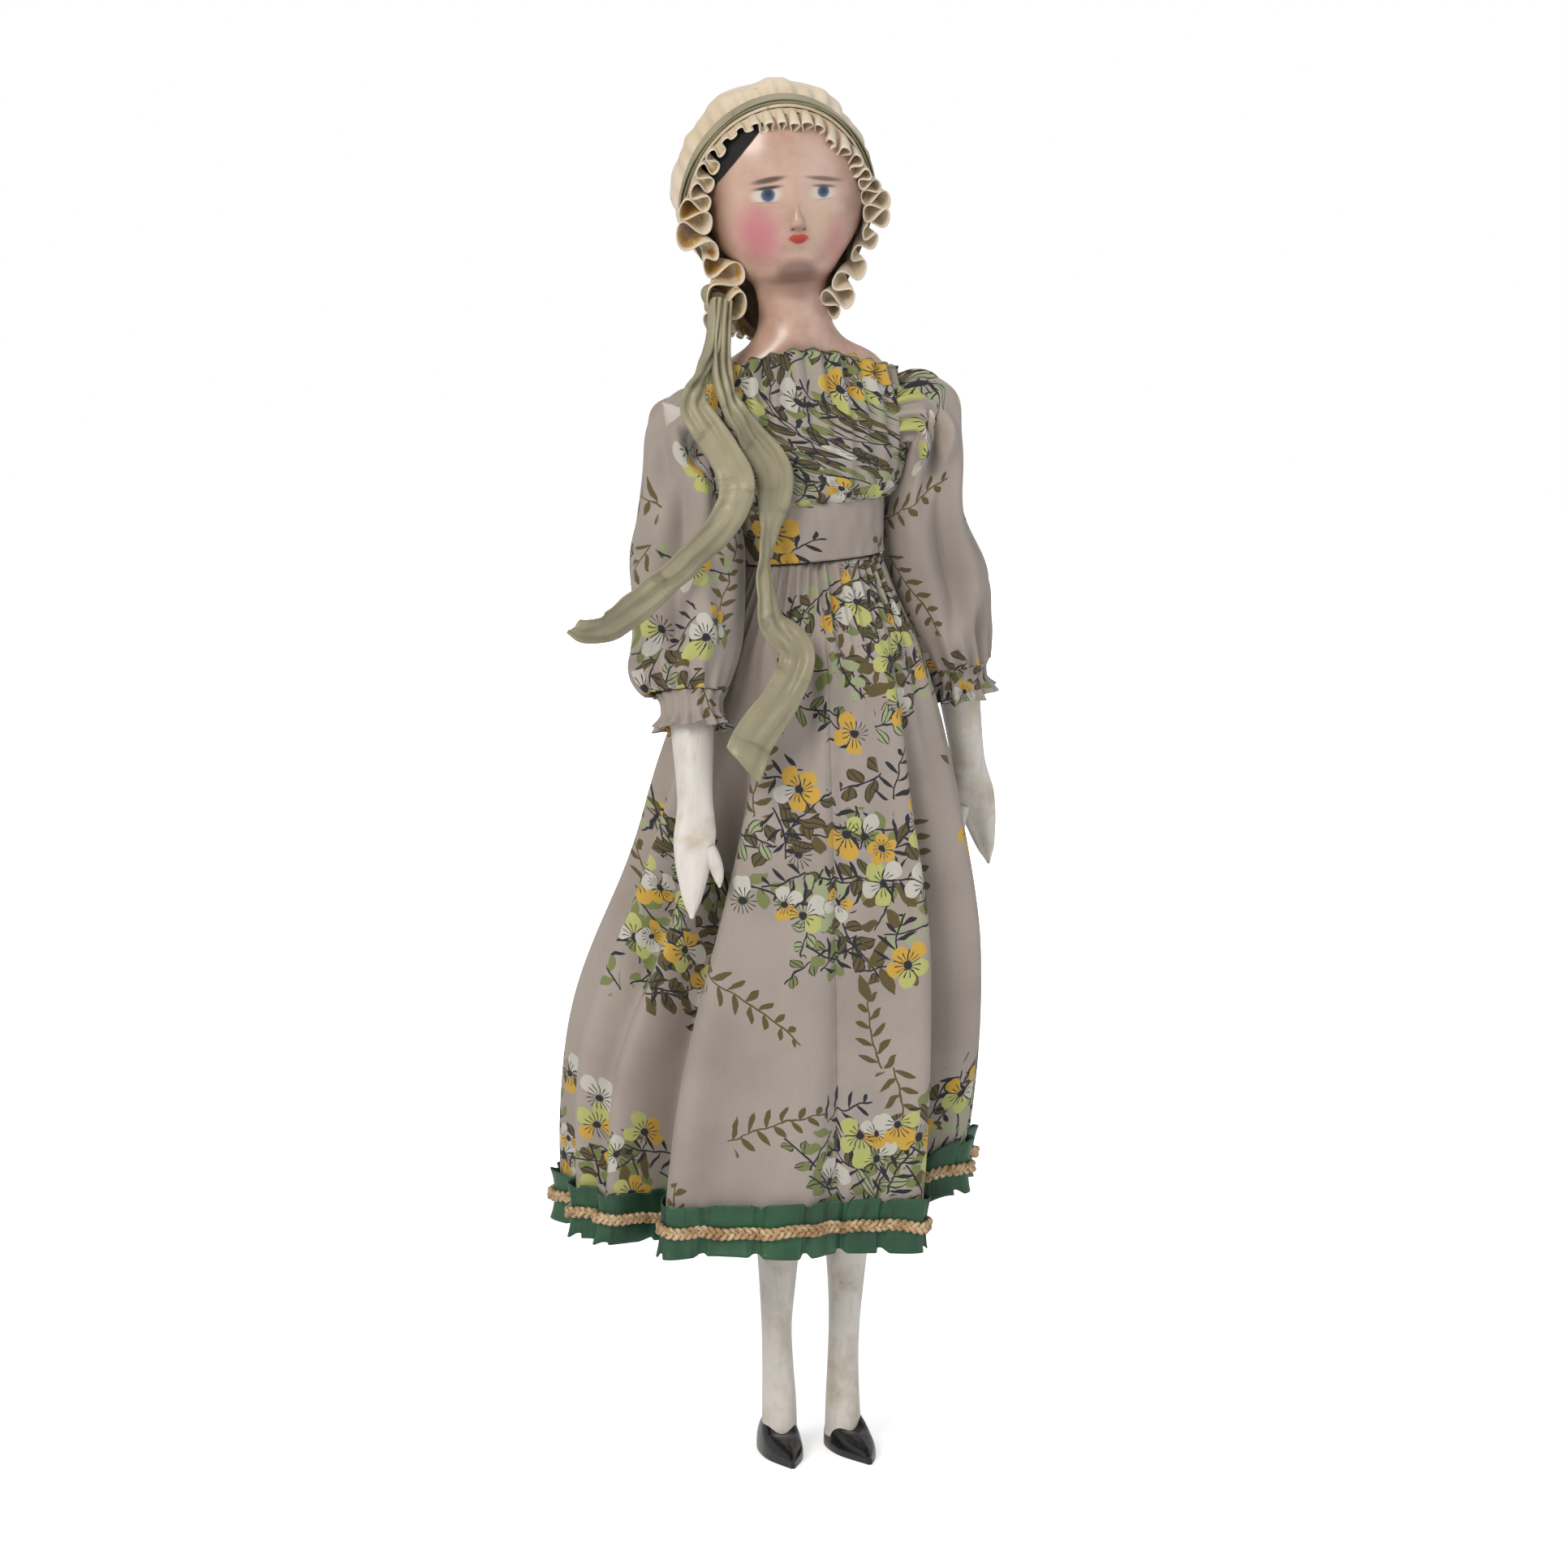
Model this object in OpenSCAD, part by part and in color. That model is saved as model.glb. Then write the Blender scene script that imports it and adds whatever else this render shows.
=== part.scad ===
// Dressed wooden peg doll, standing and facing -Y, with +Z up. Sides are the doll's own: its left is +X.
// The origin is in the middle of the wooden waist, where a doll stand's ring holds it under the skirt.
// Below, heights are counted from the soles, and placed() brings them down to that origin.

/* [Legs] */
// Knee joint down to the sole
shin_l = 92; // [84:1:110]
// Hip joint down to the knee joint
thigh_l = 86; // [76:1:100]
// Middle of the body to the middle of a leg
leg_x = 9.5; // [9.2:0.1:10.5]
// Diameter of the thigh
thigh_d = 15.6; // [13:0.2:16]
// Diameter of the calf
calf_d = 14; // [12:0.2:15.6]
// Diameter of the ankle
ankle_d = 10; // [8:0.2:12]
// Length of the slipper
foot_l = 25; // [20:1:30]
// Width of the slipper
foot_w = 11.4; // [10:0.2:13]
// Height of the slipper above the sole at the ankle
slipper_h = 9; // [7:0.5:11]

/* [Body] */
// Hip joint up to the waist seam
hip_to_waist = 71; // [60:1:80]
// Waist seam up to the shoulder joint
waist_to_shoulder = 37; // [32:1:44]
// Shoulder joint up to the chin
shoulder_to_chin = 39; // [36:1:46]
// Width of the pelvis
pelvis_w = 39; // [36:0.5:42]
// Depth of the body at the hips, which the thighs clear as they rise
pelvis_t = 20; // [18:0.5:22]
// Width of the wooden waist
waist_w = 31; // [28:0.5:33]
// Depth of the wooden waist
waist_t = 19; // [17:0.5:22]
// Width across the shoulder flats
shoulder_w = 55; // [51:0.5:59]
// Depth of the chest
chest_t = 29; // [25:0.5:32]
// Degrees that the body leans to its right above the waist
lean = 4.5; // [0:0.5:6]

/* [Head] */
// Chin up to the crown of the wooden head
head_h = 49; // [44:1:54]
// Width of the head
head_w = 43; // [38:0.5:46]
// Depth of the head
head_t = 39; // [35:0.5:42]
// Diameter of the neck
neck_d = 19; // [16:0.5:21]
// Width of the nose wedge
nose_w = 3.4; // [2.6:0.1:4.2]
// Length of the nose wedge
nose_l = 9.5; // [8:0.5:12]

/* [Arms] */
// Shoulder joint to the elbow joint
upper_arm_l = 62; // [54:1:70]
// Elbow joint to the wrist
forearm_l = 47; // [42:1:55]
// Wrist to the fingertips
hand_l = 22; // [18:1:26]
// Diameter of the arm at the elbow
arm_d = 13.4; // [11:0.2:14]
// Thickness of the arm where it lies on the shoulder
arm_t = 10; // [8:0.2:11]
// Diameter of the wrist
wrist_d = 8.4; // [7:0.2:10]
// Width of the hand across the palm
hand_w = 11; // [9:0.2:13]
// Thickness of the hand
hand_t = 4.6; // [3.6:0.2:6]
// Degrees that each arm stands out from the side
splay = 5; // [4:0.5:8]
// Degrees that the right arm hangs forward
right_swing = 17; // [15:1:22]
// Degrees that the left arm hangs back
left_swing = 8; // [6:1:12]

/* [Pegs] */
// Diameter of the pegs at hips and knees
leg_peg_d = 4; // [3:0.1:5]
// Diameter of the pegs at shoulders and elbows
arm_peg_d = 3; // [2.4:0.1:3.6]
// Thickness of the tongue at each joint
tongue_t = 4.6; // [3.6:0.1:5.2]
// Radial clearance of a peg in the wood that turns on it
peg_gap = 0.06; // [0.03:0.01:0.1]
// Clearance at each side of a tongue in its slot
slot_gap = 0.2; // [0.15:0.05:0.3]
// Clearance where wood or cloth passes another piece
pass_gap = 0.35; // [0.3:0.05:0.5]

/* [Dress] */
// Thickness of the dress cloth with its lining
cloth_t = 1; // [0.8:0.1:1.2]
// Height of the fitted band at the waist
band_h = 16; // [12:1:20]
// Width of the skirt across its hem
hem_w = 114; // [104:1:120]
// Depth of the skirt at its hem
hem_t = 94; // [86:1:100]
// Height of the hem above the floor
hem_z = 58; // [50:1:66]
// How far the hem hangs to the doll's right of its middle
hem_shift = 13; // [8:0.5:14]
// Depth of the skirt's main folds at the hem
fold_t = 5; // [3:0.25:6]
// Number of main folds round the skirt
folds = 11; // [9:1:13]
// Shoulder joint down to the gathered cuff, along the arm
sleeve_l = 71; // [68:1:76]
// Fullness of the sleeve across the elbow
sleeve_w = 24; // [20:0.5:26]
// Height of the sleeve's gathered cuff
cuff_h = 9; // [7:0.5:11]
// Height of the green ribbon round the hem
hem_ribbon_h = 18; // [14:0.5:20]
// Height of the gold braid on that ribbon
braid_h = 4; // [3:0.25:5]

/* [Bonnet] */
// Room between the head and the side of the bonnet's face opening
bonnet_room = 4; // [3:0.25:6]
// How much longer the sloping face opening is than the head
bonnet_over = 18; // [15:0.5:23]
// Depth of the crown behind the face opening
bonnet_t = 30; // [27:0.5:34]
// Width of the curled ruffle
ruffle_w = 10; // [8:0.5:11]
// Depth of the ruffle's waves
ruffle_wave = 2.2; // [1.6:0.1:2.6]
// Width of the silk ribbon
ribbon_w = 12; // [10:0.5:13]
// Thickness of the silk ribbon
ribbon_t = 0.6; // [0.5:0.05:0.8]

/* [Hidden] */

// Places that follow from the sizes
knee_z = shin_l;
hip_z = knee_z + thigh_l;
waist_z = hip_z + hip_to_waist;
shoulder_z = waist_z + waist_to_shoulder;
chin_z = shoulder_z + shoulder_to_chin;
crown_z = chin_z + head_h;
hip_r = pelvis_t / 2;
knee_r = thigh_d / 2 - 0.6 * slot_gap;
elbow_r = arm_d / 2;
shoulder_x = shoulder_w / 2 + pass_gap + arm_t / 2;
tongue_r = leg_peg_d * 1.5;
arm_tongue_r = arm_peg_d * 1.6;
bonnet_w = head_w + 2 * bonnet_room;
bonnet_h = head_h + bonnet_over;
overrun = 1;

// Smooth curve through points, with n steps to each of them
function bend(a, b, c, d, t) =
    0.5 * (2 * b + (c - a) * t + (2 * a - 5 * b + 4 * c - d) * t * t + (3 * b - a - 3 * c + d) * t * t * t);
function smooth(p, n) = [
    for (i = [0:len(p) - 2], k = [0:n - 1])
        bend(p[max(i - 1, 0)], p[i], p[i + 1], p[min(i + 2, len(p) - 1)], k / n),
    p[len(p) - 1]];
// Value at t, from 0 to 1, along a list of shares spaced evenly
function along(shares, t) =
    let (s = t * (len(shares) - 1), i = min(floor(s), len(shares) - 2))
    bend(shares[max(i - 1, 0)], shares[i], shares[i + 1], shares[min(i + 2, len(shares) - 1)], s - i);

// Solid turned about Z from [radius, height] points, listed upwards
module turned(p) {
    rotate_extrude($fn = 64)
        polygon(concat([[0, p[0][1]]], smooth(p, 4), [[0, p[len(p) - 1][1]]]));
}

// Triangle skin over sections of equal length: closed into a loop, or capped at both ends
module skin(sections, loop) {
    m = len(sections);
    n = len(sections[0]);
    sides = [for (i = [0:m - (loop ? 1 : 2)], j = [0:n - 1])
        let (a = i * n + j, b = i * n + (j + 1) % n,
             c = ((i + 1) % m) * n + (j + 1) % n, d = ((i + 1) % m) * n + j)
        each [[a, c, b], [a, d, c]]];
    caps = loop ? [] : concat(
        [for (j = [1:n - 2]) [0, j, j + 1]],
        [for (j = [1:n - 2]) [(m - 1) * n, (m - 1) * n + j + 1, (m - 1) * n + j]]);
    polyhedron(points = [for (s = sections) each s], faces = concat(sides, caps));
}

// Ellipse with half widths a and b at height z
function ellipse(a, b, z, n) = [for (k = [0:n - 1]) [a * cos(360 * k / n), b * sin(360 * k / n), z]];

// Frames: the whole doll, the leaning upper body, and an arm hung from its shoulder joint
module placed() { translate([0, 0, -waist_z]) children(); }
module leaned() {
    translate([0, 0, waist_z]) rotate([0, -lean, 0]) translate([0, 0, -waist_z]) children();
}
function swing(s) = s < 0 ? right_swing : -left_swing;
module arm_frame(s) {
    placed() leaned() translate([s * shoulder_x, 0, shoulder_z])
        rotate([0, -s * splay, 0]) rotate([-swing(s), 0, 0]) children();
}
module leg_frame(s) { placed() translate([s * leg_x, 0, 0]) children(); }
// Cylinder along X about the frame's origin
module cross_bar(d, l) { rotate([0, 90, 0]) cylinder(d = d, h = l, center = true, $fn = 48); }

// Turned body: half widths and half depths as [width, depth, height]
body_low = [
    [pelvis_w * 0.42, pelvis_t * 0.45, hip_z - hip_r - overrun],
    [pelvis_w / 2, pelvis_t / 2, hip_z],
    [pelvis_w / 2, pelvis_t / 2 * 1.05, hip_z + hip_to_waist * 0.3],
    [(pelvis_w + waist_w) / 4, (pelvis_t + waist_t) / 4, hip_z + hip_to_waist * 0.7],
    [waist_w / 2, waist_t / 2, waist_z]];
body_high = [
    [waist_w / 2 * 1.03, waist_t / 2 * 1.05, waist_z + waist_to_shoulder * 0.22],
    [(waist_w + shoulder_w) / 4 * 0.98, chest_t / 2 * 0.9, waist_z + waist_to_shoulder * 0.55],
    [shoulder_w / 2 * 0.98, chest_t / 2, shoulder_z - arm_t * 0.3],
    [shoulder_w / 2, chest_t / 2 * 0.93, shoulder_z + arm_t * 0.55],
    [(shoulder_w + neck_d) / 4 * 1.16, chest_t / 2 * 0.68, shoulder_z + shoulder_to_chin * 0.4],
    [neck_d / 2 * 1.35, neck_d / 2 * 1.05, shoulder_z + shoulder_to_chin * 0.55],
    [neck_d / 2, neck_d / 2 * 0.95, shoulder_z + shoulder_to_chin * 0.72],
    [neck_d / 2 * 1.02, neck_d / 2, chin_z - neck_d * 0.15],
    [head_w / 2 * 0.58, head_t / 2 * 0.66, chin_z + head_h * 0.03],
    [head_w / 2 * 0.84, head_t / 2 * 0.88, chin_z + head_h * 0.22],
    [head_w / 2, head_t / 2, chin_z + head_h * 0.5],
    [head_w / 2 * 0.95, head_t / 2 * 0.96, chin_z + head_h * 0.72],
    [head_w / 2 * 0.7, head_t / 2 * 0.7, chin_z + head_h * 0.91],
    [head_w / 2 * 0.12, head_t / 2 * 0.12, crown_z]];
body_n = 32;

// The leaning part of a height: none below the waist
function lean_point(p) =
    let (r = p[2] - waist_z)
    r < 0 ? p : [p[0] * cos(lean) - r * sin(lean), p[1], waist_z + p[0] * sin(lean) + r * cos(lean)];

function body_sections() = [
    for (e = smooth(concat(body_low, body_high), 3))
        [for (p = ellipse(e[0], e[1], e[2], body_n)) lean_point(p)]];

module torso() {
    color("#d9ab93") difference() {
        placed() skin(body_sections(), false);
        for (s = [-1, 1]) {
            hip_slot(s);
            arm_frame_still(s) shoulder_flat(s);
        }
        placed() {
            pelvis_underside();
            translate([0, 0, hip_z]) cross_bar(leg_peg_d, pelvis_w + 2 * overrun);
            nose_wedge(0);
        }
    }
}
// Shoulder frame without the arm's swing, for what is cut in the body
module arm_frame_still(s) {
    placed() leaned() translate([s * shoulder_x, 0, shoulder_z]) rotate([0, -s * splay, 0]) children();
}
module shoulder_flat(s) {
    cut = shoulder_to_chin;
    translate([-s * (arm_t / 2 + pass_gap) + s * cut / 2, 0, 0])
        cube([cut, chest_t + 2 * overrun, cut], center = true);
    translate([-s * (arm_t / 2 + shoulder_peg_hold() / 2), 0, 0])
        cross_bar(arm_peg_d, shoulder_peg_hold());
}
function shoulder_peg_hold() = shoulder_w * 0.22;
module hip_slot(s) {
    translate([0, 0, hip_z]) leg_frame(s)
        translate([0, 0, (tongue_r + pass_gap) / 2 - hip_r])
            cube([tongue_t + 2 * slot_gap, pelvis_t + 4 * overrun, tongue_r + pass_gap + 2 * hip_r],
                center = true);
}
// Rounds the underside of the pelvis about the hip peg and keeps its front and back flat
module pelvis_underside() {
    top = thigh_d / 2 + overrun;
    depth = pelvis_t * 2;
    difference() {
        translate([-pelvis_w, -depth / 2, hip_z - 2 * hip_r]) cube([2 * pelvis_w, depth, top + 2 * hip_r]);
        translate([0, 0, hip_z]) cross_bar(2 * hip_r, 3 * pelvis_w);
        translate([-1.5 * pelvis_w, -hip_r, hip_z]) cube([3 * pelvis_w, 2 * hip_r, top + overrun]);
    }
}

// Wedge glued into a slot in the face
nose_z = chin_z + head_h * 0.36;
module nose_wedge(gap) {
    face_y = head_t / 2 * 0.97;
    leaned() translate([0, -face_y, nose_z]) rotate([0, -90, 0])
        translate([0, 0, gap - nose_w / 2]) linear_extrude(nose_w - 2 * gap)
            polygon([[-nose_l * 0.5 + gap, nose_w - gap], [nose_l * 0.5 - gap, nose_w - gap],
                [nose_l * 0.5 - gap, 0], [-nose_l * 0.3, -nose_w * 0.55],
                [-nose_l * 0.46, -nose_w * 0.5], [-nose_l * 0.5 + gap, 0]]);
}
module nose() { color("#d9a28b") placed() nose_wedge(peg_gap / 2); }

module hip_peg() {
    color("#a9805a") placed() translate([0, 0, hip_z]) cross_bar(leg_peg_d, pelvis_w * 0.96);
}

// Thigh: a flat tongue in the pelvis above, a fork for the knee below
module thigh(s) {
    leg_frame(s) difference() {
        union() {
            turned([[thigh_d / 2 * 0.88, knee_z], [thigh_d / 2 * 0.96, knee_z + thigh_l * 0.35],
                [thigh_d / 2, knee_z + thigh_l * 0.7], [thigh_d / 2 * 0.96, hip_z - hip_r - pass_gap]]);
            translate([0, 0, knee_z]) intersection() {
                cross_bar(2 * knee_r, thigh_d);
                cylinder(d = thigh_d * 0.88, h = 2 * thigh_d, center = true, $fn = 64);
            }
            translate([-tongue_t / 2, -tongue_r, hip_z - hip_r - pass_gap - overrun])
                cube([tongue_t, 2 * tongue_r, hip_r + pass_gap + overrun]);
            translate([0, 0, hip_z]) cross_bar(2 * tongue_r, tongue_t);
        }
        translate([0, 0, hip_z]) cross_bar(leg_peg_d + 2 * peg_gap, thigh_d);
        translate([0, 0, knee_z]) cross_bar(leg_peg_d, thigh_d + overrun);
        translate([0, 0, knee_z + (tongue_r + pass_gap - knee_r - overrun) / 2])
            cube([tongue_t + 2 * slot_gap, thigh_d + 2 * overrun,
                tongue_r + pass_gap + knee_r + overrun], center = true);
    }
}
module right_thigh() { color("#ece6da") thigh(-1); }
module left_thigh() { color("#ece6da") thigh(1); }

module knee_peg(s) { leg_frame(s) translate([0, 0, knee_z]) cross_bar(leg_peg_d, thigh_d * 0.84); }
module right_knee_peg() { color("#a9805a") knee_peg(-1); }
module left_knee_peg() { color("#a9805a") knee_peg(1); }

// Shin with its carved slipper
heel_y = foot_l * 0.3;
function slipper_shares() = [[0.28, 0.3], [0.46, 0.12], [0.5, -0.12], [0.47, -0.32], [0.34, -0.52],
    [0.14, -0.68], [0, -0.7]];
module slipper_outline() {
    half = smooth([for (q = slipper_shares()) [q[0] * foot_w, q[1] * foot_l]], 4);
    polygon(concat(half, [for (i = [len(half) - 2:-1:0]) [-half[i][0], half[i][1]]]));
}
module slipper_side() {
    front = heel_y - foot_l;
    rotate([90, 0, 90]) linear_extrude(2 * foot_w, center = true)
        polygon(concat([[heel_y + overrun, 0], [front - overrun, 0]],
            smooth([[front - overrun, slipper_h * 0.34], [front + foot_l * 0.25, slipper_h * 0.5],
                [-ankle_d * 0.5, slipper_h * 0.9], [0, slipper_h * 1.1], [heel_y + overrun, slipper_h]], 4)));
}
module shin(s) {
    shoulder = knee_z - knee_r - pass_gap;
    leg_frame(s) difference() {
        union() {
            turned([[ankle_d / 2 * 0.9, slipper_h * 0.35], [ankle_d / 2, slipper_h * 1.6],
                [calf_d / 2 * 0.86, shin_l * 0.4], [calf_d / 2, shin_l * 0.66],
                [calf_d / 2 * 0.95, shoulder]]);
            translate([-tongue_t / 2, -tongue_r, shoulder - overrun])
                cube([tongue_t, 2 * tongue_r, knee_z - shoulder + overrun]);
            translate([0, 0, knee_z]) cross_bar(2 * tongue_r, tongue_t);
            intersection() {
                linear_extrude(2 * slipper_h) slipper_outline();
                slipper_side();
            }
        }
        translate([0, 0, knee_z]) cross_bar(leg_peg_d + 2 * peg_gap, thigh_d);
    }
}
module right_shin() { color("#ece6da") shin(-1); }
module left_shin() { color("#ece6da") shin(1); }

// Arms, drawn in the frame of the shoulder joint
module shoulder_peg(s) {
    hold = shoulder_peg_hold();
    arm_frame_still(s) translate([s * (arm_t * 0.45 - (arm_t / 2 + hold)) / 2, 0, 0])
        cross_bar(arm_peg_d, hold + arm_t * 0.95);
}
module right_shoulder_peg() { color("#a9805a") shoulder_peg(-1); }
module left_shoulder_peg() { color("#a9805a") shoulder_peg(1); }

module upper_arm(s) {
    arm_frame(s) difference() {
        union() {
            cross_bar(arm_d * 1.15, arm_t);
            intersection() {
                translate([0, 0, -upper_arm_l])
                    turned([[elbow_r, 0], [elbow_r * 0.94, upper_arm_l * 0.45],
                        [elbow_r, upper_arm_l * 0.8], [elbow_r * 1.05, upper_arm_l]]);
                upper_arm_slab();
            }
            translate([0, 0, -upper_arm_l]) intersection() {
                cross_bar(2 * elbow_r, 2 * arm_d);
                cylinder(d = arm_d, h = 2 * arm_d, center = true, $fn = 64);
            }
        }
        cross_bar(arm_peg_d + 2 * peg_gap, 2 * arm_t);
        translate([0, 0, -upper_arm_l]) cross_bar(arm_peg_d, 2 * arm_t);
        translate([0, 0, -upper_arm_l + (arm_tongue_r + pass_gap - elbow_r - overrun) / 2])
            cube([tongue_t + 2 * slot_gap, 2 * arm_d, arm_tongue_r + pass_gap + elbow_r + overrun],
                center = true);
    }
}
// Flattens the arm's inner side where it passes the shoulder
module upper_arm_slab() {
    union() {
        translate([0, 0, -upper_arm_l]) cube([2 * arm_d, 2 * arm_d, upper_arm_l], center = true);
        translate([0, 0, -upper_arm_l / 4]) cube([arm_t, 2 * arm_d, upper_arm_l / 2], center = true);
    }
}
module right_upper_arm() { color("#efeae0") upper_arm(-1); }
module left_upper_arm() { color("#efeae0") upper_arm(1); }

module elbow_peg(s) { arm_frame(s) translate([0, 0, -upper_arm_l]) cross_bar(arm_peg_d, arm_d * 0.9); }
module right_elbow_peg() { color("#a9805a") elbow_peg(-1); }
module left_elbow_peg() { color("#a9805a") elbow_peg(1); }

// Spade hand as [thumb side, down] shares of its width and length, turned so that the thumb is inward
function hand_shares() = [[-0.4, 0.05], [-0.48, -0.3], [-0.46, -0.62], [-0.26, -0.94], [0, -1],
    [0.16, -0.9], [0.26, -0.6], [0.44, -0.72], [0.56, -0.6], [0.46, -0.3], [0.38, 0.05]];
module hand() {
    rotate([90, 0, -90]) linear_extrude(hand_t, center = true)
        polygon(smooth([for (q = hand_shares()) [q[0] * hand_w, q[1] * hand_l]], 4));
}
module forearm(s) {
    top = -elbow_r - pass_gap;
    arm_frame(s) translate([0, 0, -upper_arm_l]) difference() {
        union() {
            turned([[wrist_d / 2 * 0.55, -forearm_l - hand_l * 0.3], [wrist_d / 2, -forearm_l],
                [wrist_d / 2 * 1.12, -forearm_l * 0.8], [elbow_r * 0.97, -forearm_l * 0.45],
                [elbow_r * 1.04, -forearm_l * 0.28], [elbow_r, top]]);
            translate([0, 0, -forearm_l]) rotate([0, 0, -s * 90]) hand();
            translate([-tongue_t / 2, -arm_tongue_r, top - overrun])
                cube([tongue_t, 2 * arm_tongue_r, overrun - top]);
            cross_bar(2 * arm_tongue_r, tongue_t);
        }
        cross_bar(arm_peg_d + 2 * peg_gap, 2 * arm_t);
    }
}
module right_forearm() { color("#efeae0") forearm(-1); }
module left_forearm() { color("#efeae0") forearm(1); }

// Closed wall between an outer and an inner surface, given as functions of angle and height
// Each section runs up the outside and down the inside
function wall(n, rows, outer, inner) = [
    for (k = [0:n - 1])
        let (a = -360 * k / n)
        concat([for (i = [0:rows]) outer(a, i / rows)], [for (i = [rows:-1:0]) inner(a, i / rows)])];

// Bodice: cloth over the chest, with armholes round the shoulder joints
bodice_low = waist_z + band_h + pass_gap;
bodice_top = shoulder_z + shoulder_to_chin * 0.41;
bodice_half = [
    [waist_w / 2 * 1.03 + 3.9 * cloth_t, waist_t / 2 + 3.6 * cloth_t],
    [(waist_w + shoulder_w) / 4 * 1.13, chest_t / 2 + cloth_t],
    [shoulder_w / 2 * 0.99, chest_t / 2 + 1.6 * cloth_t],
    [shoulder_w / 2 * 0.985, chest_t / 2 + 1.4 * cloth_t],
    [shoulder_w / 2 * 0.9, chest_t / 2 * 0.9]];
bodice_gathers = 10;
bodice_n = 32;
bodice_rows = 4;
function bodice_point(a, t, out) =
    let (w = along([for (q = bodice_half) q[0]], t), d = along([for (q = bodice_half) q[1]], t),
         g = 1 + cloth_t * 0.02 * (t > 0.6 ? (t - 0.6) * 2 : 0) * cos(bodice_gathers * a))
    lean_point([(w * g + out) * cos(a), (d * g + out) * sin(a),
        bodice_low + (bodice_top - bodice_low) * t]);
module bodice() {
    color("#a79c92") placed() difference() {
        skin(wall(bodice_n, bodice_rows, function(a, t) bodice_point(a, t, cloth_t * 1.1),
            function(a, t) bodice_point(a, t, 0)), true);
        for (s = [-1, 1]) armhole(s);
    }
}
module armhole(s) {
    leaned() translate([s * shoulder_x, 0, shoulder_z]) rotate([0, -s * splay, 0])
        cross_bar(arm_d * 1.15 + 4 * pass_gap, arm_t * 2);
}

// Fitted band between the bodice and the skirt
function waistband_point(a, t, out) =
    lean_point([(waist_w / 2 + 3 * cloth_t + cloth_t * t + out) * cos(a),
        (waist_t / 2 + 3.2 * cloth_t + out) * sin(a), waist_z + band_h * t]);
waistband_n = 24;
module waistband() {
    color("#a79c92") placed() skin(wall(waistband_n, 1, function(a, t) waistband_point(a, t, cloth_t),
        function(a, t) waistband_point(a, t, 0)), true);
}

// Skirt: gathered at the waist, opening into main folds at the hem
skirt_n = 54;
skirt_rows = 7;
skirt_spread_shares = [0, 0.34, 0.56, 0.73, 0.86, 0.95, 0.99, 1];
skirt_h = waist_z - hem_z;
waist_half = [waist_w / 2 + 3 * cloth_t, waist_t / 2 + 3.2 * cloth_t];
// Folds are deepest at the hem and differ from one to the next
function fold(a, t) =
    fold_t * (0.25 + 0.75 * t) * min(4 * t, 1) * (0.75 * sin(folds * a) + 0.35 * sin((folds - 4) * a + 60));
// The skirt draws in beside each hanging hand
function hand_dent(a, t) =
    -(arm_d * 0.35) * exp(-pow((a - 222) / 16, 2)) * exp(-pow((t - 0.45) / 0.24, 2))
    - (arm_d * 0.3) * exp(-pow((a - 25) / 20, 2)) * exp(-pow((t - 0.38) / 0.26, 2));
function skirt_point(a, t, out) =
    let (k = along(skirt_spread_shares, t), f = fold(a, t) + hand_dent(a, t) + out,
         w = waist_half[0] + (hem_w / 2 - waist_half[0] - fold_t) * k + f,
         d = waist_half[1] + (hem_t / 2 - waist_half[1] - fold_t) * k + f,
         drop = max(0, 1 - 4 * t) * sin(lean))
    [w * cos(a) - hem_shift * t * t * (1.6 - 0.6 * t), d * sin(a),
        waist_z - pass_gap - skirt_h * t + (waist_half[0] * cos(a)) * drop];
// A band that follows the skirt's cloth from height z0 to z1 above its hem
function skirt_band(out, rows, z0, z1, thick) =
    wall(skirt_n, rows, function(a, u) skirt_point(a, 1 - (z0 + (z1 - z0) * u) / skirt_h, out + thick),
        function(a, u) skirt_point(a, 1 - (z0 + (z1 - z0) * u) / skirt_h, out));
module skirt() {
    color("#a79c92") placed() skin(wall(skirt_n, skirt_rows, function(a, u) skirt_point(a, 1 - u, 0),
        function(a, u) skirt_point(a, 1 - u, -cloth_t)), true);
}
module hem_ribbon() {
    color("#1f5a36") placed() skin(skirt_band(1.4 * pass_gap, 1, 0, hem_ribbon_h, cloth_t), true);
}
module hem_braid() {
    mid = hem_ribbon_h * 0.48;
    color("#b8905a") placed() skin(skirt_band(2.8 * pass_gap + cloth_t, 1, mid - braid_h / 2,
        mid + braid_h / 2, cloth_t * 0.8), true);
}

// Sleeve: hangs from the shoulder round the arm to its gathered cuff, in the arm's frame
// Each row has shares for how far down it lies, its half width and how far out its middle is
sleeve_down_shares = [0, 0.03, 0.075, 0.14, 0.26, 0.44, 0.64, 0.82, 0.93, 1];
sleeve_half_shares = [0.44, 0.66, 0.75, 0.79, 0.84, 0.94, 1, 0.97, 0.86, 0.76];
sleeve_deep_shares = [0.4, 0.72, 0.88, 0.93, 0.99, 1, 1, 0.97, 0.86, 0.76];
sleeve_out_shares = [0, 0.02, 0.06, 0.12, 0.24, 0.28, 0.28, 0.24, 0.12, 0];
sleeve_last = len(sleeve_down_shares) - 1;
sleeve_n = 20;
sleeve_top = arm_d * 0.575 + 2 * pass_gap + cloth_t;
sleeve_gathers = 8;
sleeve_gather_t = cloth_t * 0.7;
arm_clear = elbow_r * 1.05 + pass_gap + cloth_t + sleeve_gather_t;
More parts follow.
